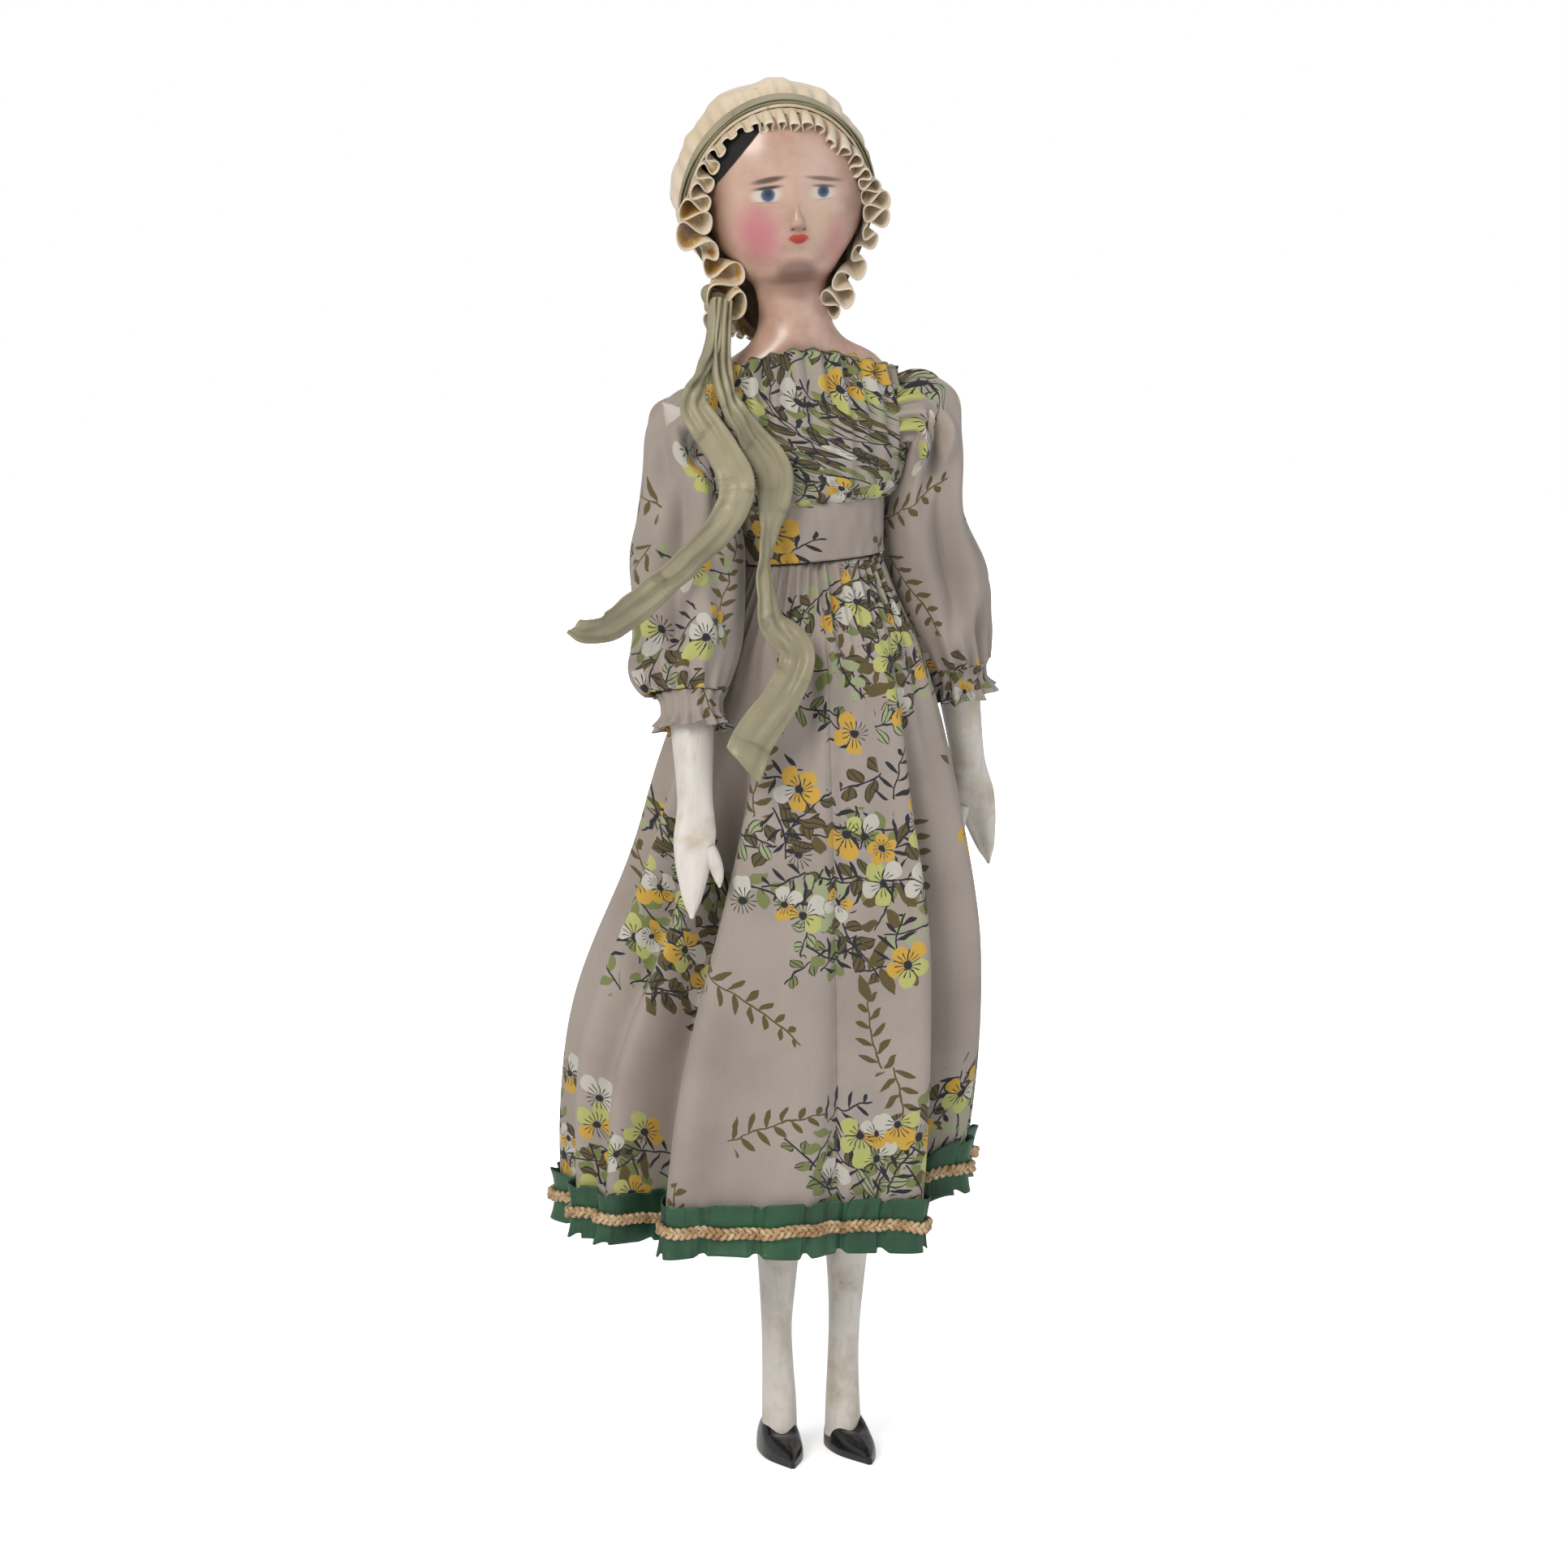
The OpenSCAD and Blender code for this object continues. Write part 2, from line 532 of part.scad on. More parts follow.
function sleeve_point(s, a, i, out) =
    let (w = sleeve_w / 2, t = sleeve_down_shares[i], least = t > 0.2 ? arm_clear : 0,
         g = sleeve_gather_t * max(0, t - 0.1) * sin(sleeve_gathers * a) + out)
    [s * ((max(w * sleeve_half_shares[i], least) + g) * cos(a) + w * sleeve_out_shares[i]),
        (max(w * sleeve_deep_shares[i], least) + g) * sin(a), sleeve_top - (sleeve_top + sleeve_l) * t];
function sleeve_section(s, a) = concat(
    [for (i = [sleeve_last:-1:0]) sleeve_point(s, a, i, 0)],
    [for (i = [0:sleeve_last]) sleeve_point(s, a, i, -cloth_t)]);
module sleeve(s) {
    arm_frame(s) difference() {
        skin([for (k = [0:sleeve_n - 1]) sleeve_section(s, -s * 360 * k / sleeve_n)], true);
        translate([-s * (arm_t / 2 + sleeve_w / 2 - 2 * cloth_t), 0, 0]) cross_bar(2 * arm_d, sleeve_w);
    }
}
module right_sleeve() { color("#a79c92") sleeve(-1); }
module left_sleeve() { color("#a79c92") sleeve(1); }

// Cuff: a narrow gathered band with a small frill, round the forearm
cuff_shares = [1.04, 1, 1.14];
cuff_n = 18;
cuff_gathers = 9;
cuff_clear = elbow_r * 1.05 + pass_gap + cloth_t / 2;
function cuff_point(a, t, out) =
    let (g = cloth_t * 0.4 * sin(cuff_gathers * a) * t, r = cuff_clear * along(cuff_shares, t) + out + g)
    [r * cos(a), r * sin(a), -sleeve_l - pass_gap - cuff_h * t];
module cuff(s) {
    arm_frame(s) skin(wall(cuff_n, 2, function(a, t) cuff_point(a, 1 - t, cloth_t),
        function(a, t) cuff_point(a, 1 - t, 0)), true);
}
module right_cuff() { color("#a79c92") cuff(-1); }
module left_cuff() { color("#a79c92") cuff(1); }

// Bonnet: a dome behind an oval opening that slopes back from the brow to the nape
bonnet_top = [0, -head_t * 0.42, crown_z - head_h * 0.08];
bonnet_tilt = asin(head_t * 0.86 / bonnet_h);
function bonnet_axis(u, v, w) =
    let (c = bonnet_h / 2 * cos(bonnet_tilt), q = bonnet_h / 2 * sin(bonnet_tilt))
    [u, bonnet_top[1] + q - v * sin(bonnet_tilt) + w * cos(bonnet_tilt),
        bonnet_top[2] - c + v * cos(bonnet_tilt) + w * sin(bonnet_tilt)];
bonnet_gathers = 15;
function bonnet_point(a, t, out) =
    let (k = pow(cos(90 * t), 0.62), puff = 1 + 0.16 * sin(180 * min(1, t * 1.3)),
         g = 1 + 0.02 * cos(bonnet_gathers * a) * sin(180 * t))
    lean_point(bonnet_axis((bonnet_w / 2 + out) * k * puff * g * cos(a),
        (bonnet_h / 2 + out) * k * puff * g * sin(a), (bonnet_t + out) * sin(90 * t)));
module bonnet_crown() {
    rows = 6;
    n = 36;
    far = 0.97;
    outer = [for (i = [0:rows]) [for (k = [0:n - 1]) bonnet_point(-360 * k / n, far * i / rows, cloth_t)]];
    inner = [for (i = [rows:-1:0]) [for (k = [0:n - 1]) bonnet_point(-360 * k / n, far * i / rows, 0)]];
    color("#d8c8a4") placed() skin(concat(inner, outer), false);
}

// Ruffle round the face opening, in waves
ruffle_waves = 26;
ruffle_n = 104;
function ruffle_point(a, r, up) =
    let (w = ruffle_wave * sin(ruffle_waves * a))
    lean_point(bonnet_axis((bonnet_w / 2 + r) * cos(a), (bonnet_h / 2 + r) * sin(a),
        -ruffle_wave - pass_gap - cloth_t + up + w));
module bonnet_ruffle() {
    r0 = -ruffle_w * 0.22;
    r1 = ruffle_w * 0.45;
    color("#dccca6") placed() skin([for (k = [0:ruffle_n - 1])
        let (a = 360 * k / ruffle_n)
        let (r = r0 * (0.55 + 0.45 * sin(a)))
        [ruffle_point(a, r, 0), ruffle_point(a, r1, 0), ruffle_point(a, r1, cloth_t),
            ruffle_point(a, r, cloth_t)]], true);
}

// Ribbon over the bonnet, behind its ruffle, from cheek to cheek
module bonnet_ribbon() {
    steps = 30;
    from = 208;
    turn = -236;
    front = 0.06;
    back = 0.22;
    o = cloth_t + 1.8 * pass_gap;
    color("#8d8a68") placed() skin([for (k = [0:steps])
        let (a = from + turn * k / steps)
        [bonnet_point(a, front, o), bonnet_point(a, back, o), bonnet_point(a, back, o + ribbon_t),
            bonnet_point(a, front, o + ribbon_t)]], false);
}

// Bunched loops of ribbon, from under the right side of the ruffle forward to where the tails fall
tail_at = [-neck_d * 0.98, -head_t * 0.3, chin_z - neck_d * 0.35];
knot_from = [-neck_d * 1.02, head_t * 0.135, chin_z - neck_d * 0.22];
knot_to = tail_at - [0, 0, ribbon_w * 0.15];
module ribbon_knot() {
    steps = 8;
    n = 12;
    lobes = 3;
    color("#86835f") placed() leaned() skin([for (i = [0:steps])
        let (t = i / steps, r = ribbon_w * (0.08 + 0.24 * sin(180 * t)),
             c = knot_from * (1 - t) + knot_to * t)
        [for (k = [0:n - 1]) let (a = 360 * k / n, q = r * (1 + 0.16 * cos(lobes * a)))
            c + [q * 0.8 * cos(a), 0, q * sin(a) - r * sin(180 * t) * 0.4]]], false);
}

// A ribbon tail: places from the knot as [x, y, z, width share, twist], in multiples of its width
long_route_shares = [[0.02, 0.1, -0.38, 0.3, 0], [-0.25, -0.25, -1.3, 0.45, 20], [0.1, -0.72, -2.5, 0.55, 40],
    [0.85, -0.85, -3.6, 0.7, 20], [1.3, -0.85, -4.7, 0.8, -10], [0.98, -0.85, -5.8, 0.6, 35],
    [1.05, -1.05, -7.1, 0.75, 60], [1.6, -1.65, -8.2, 0.85, 25], [1.25, -2.25, -9.2, 0.9, -20],
    [0.85, -2.7, -10.2, 1, -15], [0.72, -2.95, -11.2, 0.2, 0]];
short_route_shares = [[-0.36, 0.1, -0.38, 0.32, 0], [-0.85, -0.1, -1.6, 0.45, 30],
    [-0.8, -0.8, -2.6, 0.6, 10], [-0.15, -1.3, -3.9, 0.6, -30], [0.1, -1.6, -5, 0.7, -20], [-0.35, -1.95, -6.1, 0.8, 15],
    [-1.3, -2.2, -7.2, 0.9, 35], [-2.2, -2.3, -7.9, 1, 40], [-3.3, -2.4, -8.1, 0.25, 30]];
module ribbon_tail(route_shares) {
    route = smooth(route_shares, 4);
    last = len(route) - 1;
    skin([for (i = [0:last])
        let (p = route[i], q = route[min(i + 1, last)], o = route[max(i - 1, 0)],
             h = ribbon_w / 2 * p[3], v = [q[0] - o[0], 0, q[2] - o[2]], l = norm(v),
             side = [-v[2] / l * cos(p[4]), sin(p[4]), v[0] / l * cos(p[4])],
             face = cross([v[0] / l, 0, v[2] / l], side) * ribbon_t,
             c = tail_at + ribbon_w * [p[0], p[1], p[2]])
        [c - side * h, c + side * h, c + side * h + face, c - side * h + face]], false);
}
module ribbon_long() { color("#8d8a68") placed() leaned() ribbon_tail(long_route_shares); }
module ribbon_short() { color("#8d8a68") placed() leaned() ribbon_tail(short_route_shares); }

torso();
nose();
hip_peg();
right_thigh();
left_thigh();
right_knee_peg();
left_knee_peg();
right_shin();
left_shin();
right_shoulder_peg();
left_shoulder_peg();
right_upper_arm();
left_upper_arm();
right_elbow_peg();
left_elbow_peg();
right_forearm();
left_forearm();
bodice();
waistband();
right_sleeve();
left_sleeve();
right_cuff();
left_cuff();
skirt();
hem_ribbon();
hem_braid();
bonnet_crown();
bonnet_ruffle();
bonnet_ribbon();
ribbon_knot();
ribbon_long();
ribbon_short();
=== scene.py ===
"""Looks of a dressed peg wooden doll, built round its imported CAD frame.

Lengths in the classes are millimetres and heights are counted from the soles. The row frame's origin is in the
middle of the wooden waist, so place() takes a point there and turns it into metres.
"""

import logging
import math
from dataclasses import dataclass
from enum import Enum
from typing import Callable, Sequence

import bmesh
import bpy
import numpy as np
from bpy.types import Material, Mesh, Node, NodeSocket, NodeTree, Object
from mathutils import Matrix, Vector

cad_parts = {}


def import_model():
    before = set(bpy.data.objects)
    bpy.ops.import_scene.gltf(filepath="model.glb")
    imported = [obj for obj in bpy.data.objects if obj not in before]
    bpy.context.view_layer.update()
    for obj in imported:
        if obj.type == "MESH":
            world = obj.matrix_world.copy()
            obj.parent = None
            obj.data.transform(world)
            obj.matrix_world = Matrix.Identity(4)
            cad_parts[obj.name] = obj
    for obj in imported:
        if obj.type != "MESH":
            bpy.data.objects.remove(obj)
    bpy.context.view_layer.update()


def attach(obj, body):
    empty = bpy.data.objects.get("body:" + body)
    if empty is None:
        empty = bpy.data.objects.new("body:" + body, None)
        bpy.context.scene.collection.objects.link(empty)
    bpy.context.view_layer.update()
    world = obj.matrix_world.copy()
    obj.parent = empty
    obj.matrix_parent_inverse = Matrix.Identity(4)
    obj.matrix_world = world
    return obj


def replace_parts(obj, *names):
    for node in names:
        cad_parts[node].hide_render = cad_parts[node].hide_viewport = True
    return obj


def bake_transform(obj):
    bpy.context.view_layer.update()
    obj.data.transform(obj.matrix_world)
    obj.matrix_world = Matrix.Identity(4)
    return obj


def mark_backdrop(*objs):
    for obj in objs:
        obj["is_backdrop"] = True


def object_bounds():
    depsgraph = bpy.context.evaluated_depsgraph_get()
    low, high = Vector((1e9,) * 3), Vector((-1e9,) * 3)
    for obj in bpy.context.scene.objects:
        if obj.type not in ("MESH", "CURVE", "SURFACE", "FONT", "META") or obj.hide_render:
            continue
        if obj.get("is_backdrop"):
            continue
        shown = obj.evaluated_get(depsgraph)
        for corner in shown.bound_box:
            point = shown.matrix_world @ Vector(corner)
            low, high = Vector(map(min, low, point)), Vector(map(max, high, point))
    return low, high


LOG = logging.getLogger("peg_doll")
MM = 0.001
WAIST = 249.0
LEAN = math.radians(4.5)
SHARP_DEG = 40.0
RIBBON_WIDTH = 10.2
Array = np.ndarray


class Side(Enum):
    """The doll's own sides. The value is the sign of X."""

    RIGHT = -1
    LEFT = 1

    @property
    def word(self) -> str:
        """The side's word in the names of pieces and bodies."""
        return self.name.lower()


# ---- shapes -------------------------------------------------------------------------------------------------


def place(points: Array) -> Array:
    """Takes points from millimetres above the soles to metres in the row frame."""
    return (np.asarray(points, float) - [0.0, 0.0, WAIST]) * MM


def leaned(points: Array) -> Array:
    """Leans points above the waist seam to the doll's right.

    A point at height r above the seam turns about Y through the lean: x cos - r sin across, x sin + r cos up.
    """
    p = np.array(points, float)
    r = p[..., 2] - WAIST
    x = p[..., 0].copy()
    up = r > 0
    p[..., 0] = np.where(up, x * math.cos(LEAN) - r * math.sin(LEAN), x)
    p[..., 2] = np.where(up, WAIST + x * math.sin(LEAN) + r * math.cos(LEAN), p[..., 2])
    return p


def nodded(points: Array) -> Array:
    """Bends the neck: points above it move 1.8 to the doll's right, eased in between heights 314 and 340."""
    p = np.array(points, float)
    p[..., 0] -= 1.8 * ease(p[..., 2], 314.0, 340.0)
    return p


def along(shares: Sequence, t: Array) -> Array:
    """Value at t from 0 to 1 on a smooth (Catmull-Rom) curve through evenly spaced values.

    Args:
        shares: numbers, or rows of numbers, that the curve passes through.
        t: places along it, any shape.

    Returns:
        The values, with the rows' own axis last where the shares are rows.
    """
    p = np.asarray(shares, float)
    n = len(p)
    s = np.clip(np.asarray(t, float), 0, 1) * (n - 1)
    i = np.minimum(np.floor(s).astype(int), n - 2)
    u = s - i
    if p.ndim > 1:
        u = u[..., None]
    a, b, c, d = p[np.maximum(i - 1, 0)], p[i], p[i + 1], p[np.minimum(i + 2, n - 1)]
    return 0.5 * (2 * b + (c - a) * u + (2 * a - 5 * b + 4 * c - d) * u**2 + (3 * b - a - 3 * c + d) * u**3)


def ease(x: Array, low: float, high: float) -> Array:
    """Smooth step: 0 at low, 1 at high, with level ends. Low may be the larger."""
    t = np.clip((np.asarray(x, float) - low) / (high - low), 0, 1)
    return t * t * (3 - 2 * t)


def bump(x: Array, middle: float, width: float) -> Array:
    """Bell curve exp(-((x - middle) / width)^2)."""
    return np.exp(-(((np.asarray(x, float) - middle) / width) ** 2))


def cos_deg(a: Array) -> Array:
    """Cosine of degrees."""
    return np.cos(np.radians(a))


def sin_deg(a: Array) -> Array:
    """Sine of degrees."""
    return np.sin(np.radians(a))


def ripple(u: Array, v: Array, seed: int, count: int = 6) -> Array:
    """Smooth irregular ripple of about -1 to 1: a sum of sine waves of seeded direction, pitch and phase.

    Args:
        u, v: coordinates, in units of one ripple.
        seed: fixes the waves.
        count: how many waves are summed.
    """
    rng = np.random.default_rng(seed)
    total = np.zeros(np.broadcast(u, v).shape)
    for _ in range(count):
        turn, pitch, phase = rng.uniform(0, np.pi), rng.uniform(0.6, 1.7), rng.uniform(0, 2 * np.pi)
        total = total + np.sin(2 * np.pi * pitch * (u * np.cos(turn) + v * np.sin(turn)) + phase)
    return total / math.sqrt(count * 2)


def grid_faces(m: int, n: int, loop_m: bool, loop_n: bool, stride: int) -> tuple[Array, Array]:
    """Quads of an m by n grid of points, row-major, and the same corners in a UV grid of that many columns."""
    i, j = np.meshgrid(np.arange(m if loop_m else m - 1), np.arange(n if loop_n else n - 1), indexing="ij")
    i, j = i.ravel(), j.ravel()
    corners = [(i, j), (i + 1, j), (i + 1, j + 1), (i, j + 1)]
    verts = np.stack([(a % m) * n + (b % n) for a, b in corners], axis=1)
    flat = np.stack([a * stride + b for a, b in corners], axis=1)
    return verts, flat


def build_grid(
    name: str,
    points: Array,
    uv: Array | None = None,
    loops: tuple[bool, bool] = (False, False),
    caps: bool = False,
) -> Object:
    """Makes a smooth mesh object from a grid of points in metres, with its faces turned outwards.

    Args:
        name: the piece's name.
        points: array (m, n, 3); rows run along the piece, columns across it.
        uv: array (m, n, 2) in metres of cloth, with one row or column more on each side that closes.
        loops: whether rows and columns close on themselves.
        caps: closes the two end rows of a tube, each with a fan to its middle point.

    Returns:
        The new object, linked to the scene.
    """
    m, n = points.shape[:2]
    verts, flat = grid_faces(m, n, *loops, n if uv is None else uv.shape[1])
    co = points.reshape(-1, 3)
    faces = verts.tolist()
    if caps:
        j = np.arange(n)
        k = (j + 1) % n
        co = np.vstack([co, points[0].mean(0), points[-1].mean(0)])
        faces += np.stack([k, j, np.full(n, m * n)], axis=1).tolist()
        faces += np.stack([(m - 1) * n + j, (m - 1) * n + k, np.full(n, m * n + 1)], axis=1).tolist()
    mesh = bpy.data.meshes.new(name)
    mesh.from_pydata(co.tolist(), [], faces)
    if uv is not None:
        layer = mesh.uv_layers.new(name="cloth")
        plain = uv.reshape(-1, 2)[flat.ravel()]
        spare = np.zeros((len(mesh.loops) - len(plain), 2))
        layer.data.foreach_set("uv", np.vstack([plain, spare]).astype(np.float32).ravel())
    turn_outwards(mesh)
    mesh.polygons.foreach_set("use_smooth", np.ones(len(mesh.polygons), bool))
    mesh.update()
    obj = bpy.data.objects.new(name, mesh)
    bpy.context.scene.collection.objects.link(obj)
    return obj


def turn_outwards(mesh: Mesh) -> None:
    """Flips all faces where, taken together, they look towards the mesh's middle."""
    count = len(mesh.polygons)
    centre, normal, area = np.zeros(count * 3), np.zeros(count * 3), np.zeros(count)
    mesh.polygons.foreach_get("center", centre)
    mesh.polygons.foreach_get("normal", normal)
    mesh.polygons.foreach_get("area", area)
    centre, normal = centre.reshape(-1, 3), normal.reshape(-1, 3)
    if ((centre - centre.mean(0)) * normal * area[:, None]).sum() < 0:
        mesh.flip_normals()


def uv_grid(width: Array, length: Array) -> Array:
    """UV corners from cloth positions in millimetres along and across, as metres."""
    u, v = np.broadcast_arrays(width, length)
    return np.stack([u, v], axis=-1) * MM


def join(name: str, parts: Sequence[Object]) -> Object:
    """Joins objects that belong to one carved or sewn piece into the first of them."""
    first = parts[0]
    with bpy.context.temp_override(active_object=first, selected_editable_objects=list(parts)):
        bpy.ops.object.join()
    first.name = first.data.name = name
    return first


def tube(path: Array, radii: Array, across: int) -> Array:
    """Ring points carried along a path.

    At each path point a ring stands square to the way the path runs there: centre + r cos(a) side + r sin(a) up,
    where side is the path's direction crossed with a fixed reference, and up completes the frame.

    Args:
        path: array (m, 3).
        radii: array (m,) or (m, 2), the ring's half widths along side and up.
        across: points in each ring.

    Returns:
        Array (m, across, 3).
    """
    ahead = np.gradient(path, axis=0)
    ahead /= np.linalg.norm(ahead, axis=1, keepdims=True)
    reference = np.array([0.0, -1.0, 0.0]) if abs(ahead[:, 1]).mean() < 0.7 else np.array([0.0, 0.0, 1.0])
    side = np.cross(ahead, reference)
    side /= np.linalg.norm(side, axis=1, keepdims=True)
    up = np.cross(side, ahead)
    r = np.broadcast_to(np.asarray(radii, float).reshape(len(path), -1), (len(path), 2))
    a = np.linspace(0, 2 * np.pi, across, endpoint=False)
    return (
        path[:, None]
        + r[:, :1, None] * np.cos(a)[None, :, None] * side[:, None]
        + r[:, 1:, None] * np.sin(a)[None, :, None] * up[:, None]
    )


def run_length(points: Array, axis: int, closed: bool = False) -> Array:
    """Length along each line of a grid of points, counted from its first point.

    Args:
        points: array (..., 3).
        axis: the axis that the lines follow.
        closed: whether one more step leads back to the first point.

    Returns:
        The sums of the steps, one value for each point, and one more where the lines close.
    """
    if closed:
        points = np.concatenate([points, points.take([0], axis)], axis)
    steps = np.linalg.norm(np.diff(points, axis=axis), axis=-1)
    return np.concatenate([np.zeros_like(steps.take([0], axis)), np.cumsum(steps, axis=axis)], axis)


def thicken(obj: Object, millimetres: float, offset: float = -1.0) -> None:
    """Gives a sheet its thickness with a live Solidify, by default inwards."""
    solid = obj.modifiers.new("thickness", "SOLIDIFY")
    solid.thickness = millimetres * MM
    solid.offset = offset
    solid.use_even_offset = False


def finish_sheet(obj: Object, finish: Material, millimetres: float, offset: float = -1.0) -> None:
    """Gives a sheet its finish, then its thickness."""
    obj.data.materials.append(finish)
    thicken(obj, millimetres, offset)


def cut_from_cad(node: str, name: str, point: Array, direction: Array) -> Object:
    """Copies a CAD node's mesh and keeps its part on the side of a plane that direction points away from, capped.

    Args:
        node: the CAD node.
        name: the new piece's name.
        point: a point on the plane, in metres in the row frame.
        direction: the plane's normal, towards what is cut off.
    """
    bm = bmesh.new()
    bm.from_mesh(bpy.data.objects[node].data)
    bmesh.ops.remove_doubles(bm, verts=bm.verts, dist=1e-6)
    geometry = bm.verts[:] + bm.edges[:] + bm.faces[:]
    cut = bmesh.ops.bisect_plane(bm, geom=geometry, plane_co=point, plane_no=direction, clear_outer=True)
    rim = [e for e in cut["geom_cut"] if isinstance(e, bmesh.types.BMEdge)]
    bmesh.ops.triangle_fill(bm, edges=rim, use_beauty=True)
    bmesh.ops.recalc_face_normals(bm, faces=bm.faces)
    mesh = bpy.data.meshes.new(name)
    bm.to_mesh(mesh)
    bm.free()
    mesh.polygons.foreach_set("use_smooth", np.ones(len(mesh.polygons), bool))
    mesh.set_sharp_from_angle(angle=math.radians(SHARP_DEG))
    obj = bpy.data.objects.new(name, mesh)
    bpy.context.scene.collection.objects.link(obj)
    return obj


def report(obj: Object) -> None:
    """Logs a finished piece."""
    LOG.info("%s: %d points", obj.name, len(obj.data.vertices))


# ---- finishes -----------------------------------------------------------------------------------------------


def paint(code: str) -> tuple[float, float, float, float]:
    """Turns a #rrggbb screen colour into a linear colour."""
    parts = [int(code[i : i + 2], 16) / 255 for i in (1, 3, 5)]
    return (*(c / 12.92 if c <= 0.04045 else ((c + 0.055) / 1.055) ** 2.4 for c in parts), 1.0)


class Wiring:
    """Short forms for wiring up the nodes of one material or group."""

    def __init__(self, tree: NodeTree) -> None:
        """Keeps the tree that the nodes go in."""
        self.tree = tree

    def feed(self, socket: NodeSocket, value: object) -> None:
        """Links a socket to value, or sets it where value is plain."""
        if isinstance(value, NodeSocket):
            self.tree.links.new(value, socket)
        elif value is not None:
            socket.default_value = value

    def node(self, kind: str, **settings: object) -> Node:
        """Adds a node and sets its properties."""
        made = self.tree.nodes.new(kind)
        for key, value in settings.items():
            setattr(made, key, value)
        return made

    def calc(self, kind: str, a: object, b: object = None, clamp: bool = False) -> NodeSocket:
        """Math node of the named operation."""
        made = self.node("ShaderNodeMath", operation=kind, use_clamp=clamp)
        for socket, value in zip(made.inputs, (a, b)):
            self.feed(socket, value)
        return made.outputs[0]

    def plus(self, a: object, b: object, clamp: bool = False) -> NodeSocket:
        """a + b."""
        return self.calc("ADD", a, b, clamp)

    def minus(self, a: object, b: object) -> NodeSocket:
        """a - b."""
        return self.calc("SUBTRACT", a, b)

    def times(self, a: object, b: object) -> NodeSocket:
        """a b."""
        return self.calc("MULTIPLY", a, b)

    def over(self, a: object, b: object) -> NodeSocket:
        """a / b."""
        return self.calc("DIVIDE", a, b)

    def vector(self, kind: str, a: object, b: object = None, out: int = 0) -> NodeSocket:
        """Vector Math node of the named operation; scale takes its factor as b."""
        made = self.node("ShaderNodeVectorMath", operation=kind)
        self.feed(made.inputs[0], a)
        self.feed(made.inputs[3 if kind == "SCALE" else 1], b)
        return made.outputs[out]

    def split(self, vector: object) -> tuple[NodeSocket, ...]:
        """X, Y and Z of a vector."""
        made = self.node("ShaderNodeSeparateXYZ")
        self.feed(made.inputs[0], vector)
        return tuple(made.outputs)

    def join(self, x: object, y: object, z: object = 0.0) -> NodeSocket:
        """A vector from its X, Y and Z."""
        made = self.node("ShaderNodeCombineXYZ")
        for socket, value in zip(made.inputs, (x, y, z)):
            self.feed(socket, value)
        return made.outputs[0]

    def mix(self, share: object, a: object, b: object) -> NodeSocket:
        """Colour a turning into colour b as share goes from 0 to 1."""
        made = self.node("ShaderNodeMix", data_type="RGBA")
        for index, value in ((0, share), (6, a), (7, b)):
            self.feed(made.inputs[index], value)
        return made.outputs[2]

    def tint(self, colour: object, mask: object, code: str, share: float = 1.0) -> NodeSocket:
        """The colour with a #rrggbb code laid over it where mask is 1, by no more than share."""
        return self.mix(mask if share == 1.0 else self.times(mask, share), colour, paint(code))

    def ease(self, value: object, low: float, high: float) -> NodeSocket:
        """Smooth step of value, 0 at low and 1 at high."""
        made = self.node("ShaderNodeMapRange", interpolation_type="SMOOTHSTEP")
        ends = (low, high, 0.0, 1.0) if low < high else (high, low, 1.0, 0.0)
        for index, item in enumerate((value, *ends)):
            self.feed(made.inputs[index], item)
        return made.outputs[0]

    def noise(self, where: object, scale: float, detail: float = 2.0, rough: float = 0.5) -> NodeSocket:
        """Smooth noise from 0 to 1, in ripples per metre."""
        made = self.node("ShaderNodeTexNoise")
        for key, value in (("Vector", where), ("Scale", scale), ("Detail", detail), ("Roughness", rough)):
            self.feed(made.inputs[key], value)
        return made.outputs[0]

    def use(self, group: NodeTree, **values: object) -> dict[str, NodeSocket]:
        """Places a node group with its values and returns its outputs by name."""
        made = self.node("ShaderNodeGroup", node_tree=group)
        for key, value in values.items():
            self.feed(made.inputs[key], value)
        return {socket.name: socket for socket in made.outputs}


SOCKETS = {"vector": "NodeSocketVector", "value": "NodeSocketFloat", "colour": "NodeSocketColor"}
Sockets = dict[str, NodeSocket]
Build = Callable[[Wiring, Sockets], Sockets]


def shared_group(
    name: str, takes: dict[str, str], gives: dict[str, str]
) -> Callable[[Build], Callable[[], NodeTree]]:
    """Turns a function that wires up a shader node group into one that returns the group, built once.

    Args:
        name: the group's name.
        takes: its inputs, each with the kind of its socket.
        gives: its outputs, likewise.

    Returns:
        The decorator for the wiring function, which goes from the inputs to the outputs by name.
    """

    def decorate(build: Build) -> Callable[[], NodeTree]:
        """Wraps the wiring function."""

        def fetch() -> NodeTree:
            """The group, built the first time that it is asked for."""
            if name in bpy.data.node_groups:
                return bpy.data.node_groups[name]
            tree = bpy.data.node_groups.new(name, "ShaderNodeTree")
            for way, sockets in (("INPUT", takes), ("OUTPUT", gives)):
                for key, kind in sockets.items():
                    tree.interface.new_socket(name=key, in_out=way, socket_type=SOCKETS[kind])
            wires = Wiring(tree)
            source, sink = wires.node("NodeGroupInput"), wires.node("NodeGroupOutput")
            made = build(wires, {key: source.outputs[key] for key in takes})
            for key in gives:
                tree.links.new(made[key], sink.inputs[key])
            return tree

        return fetch

    return decorate


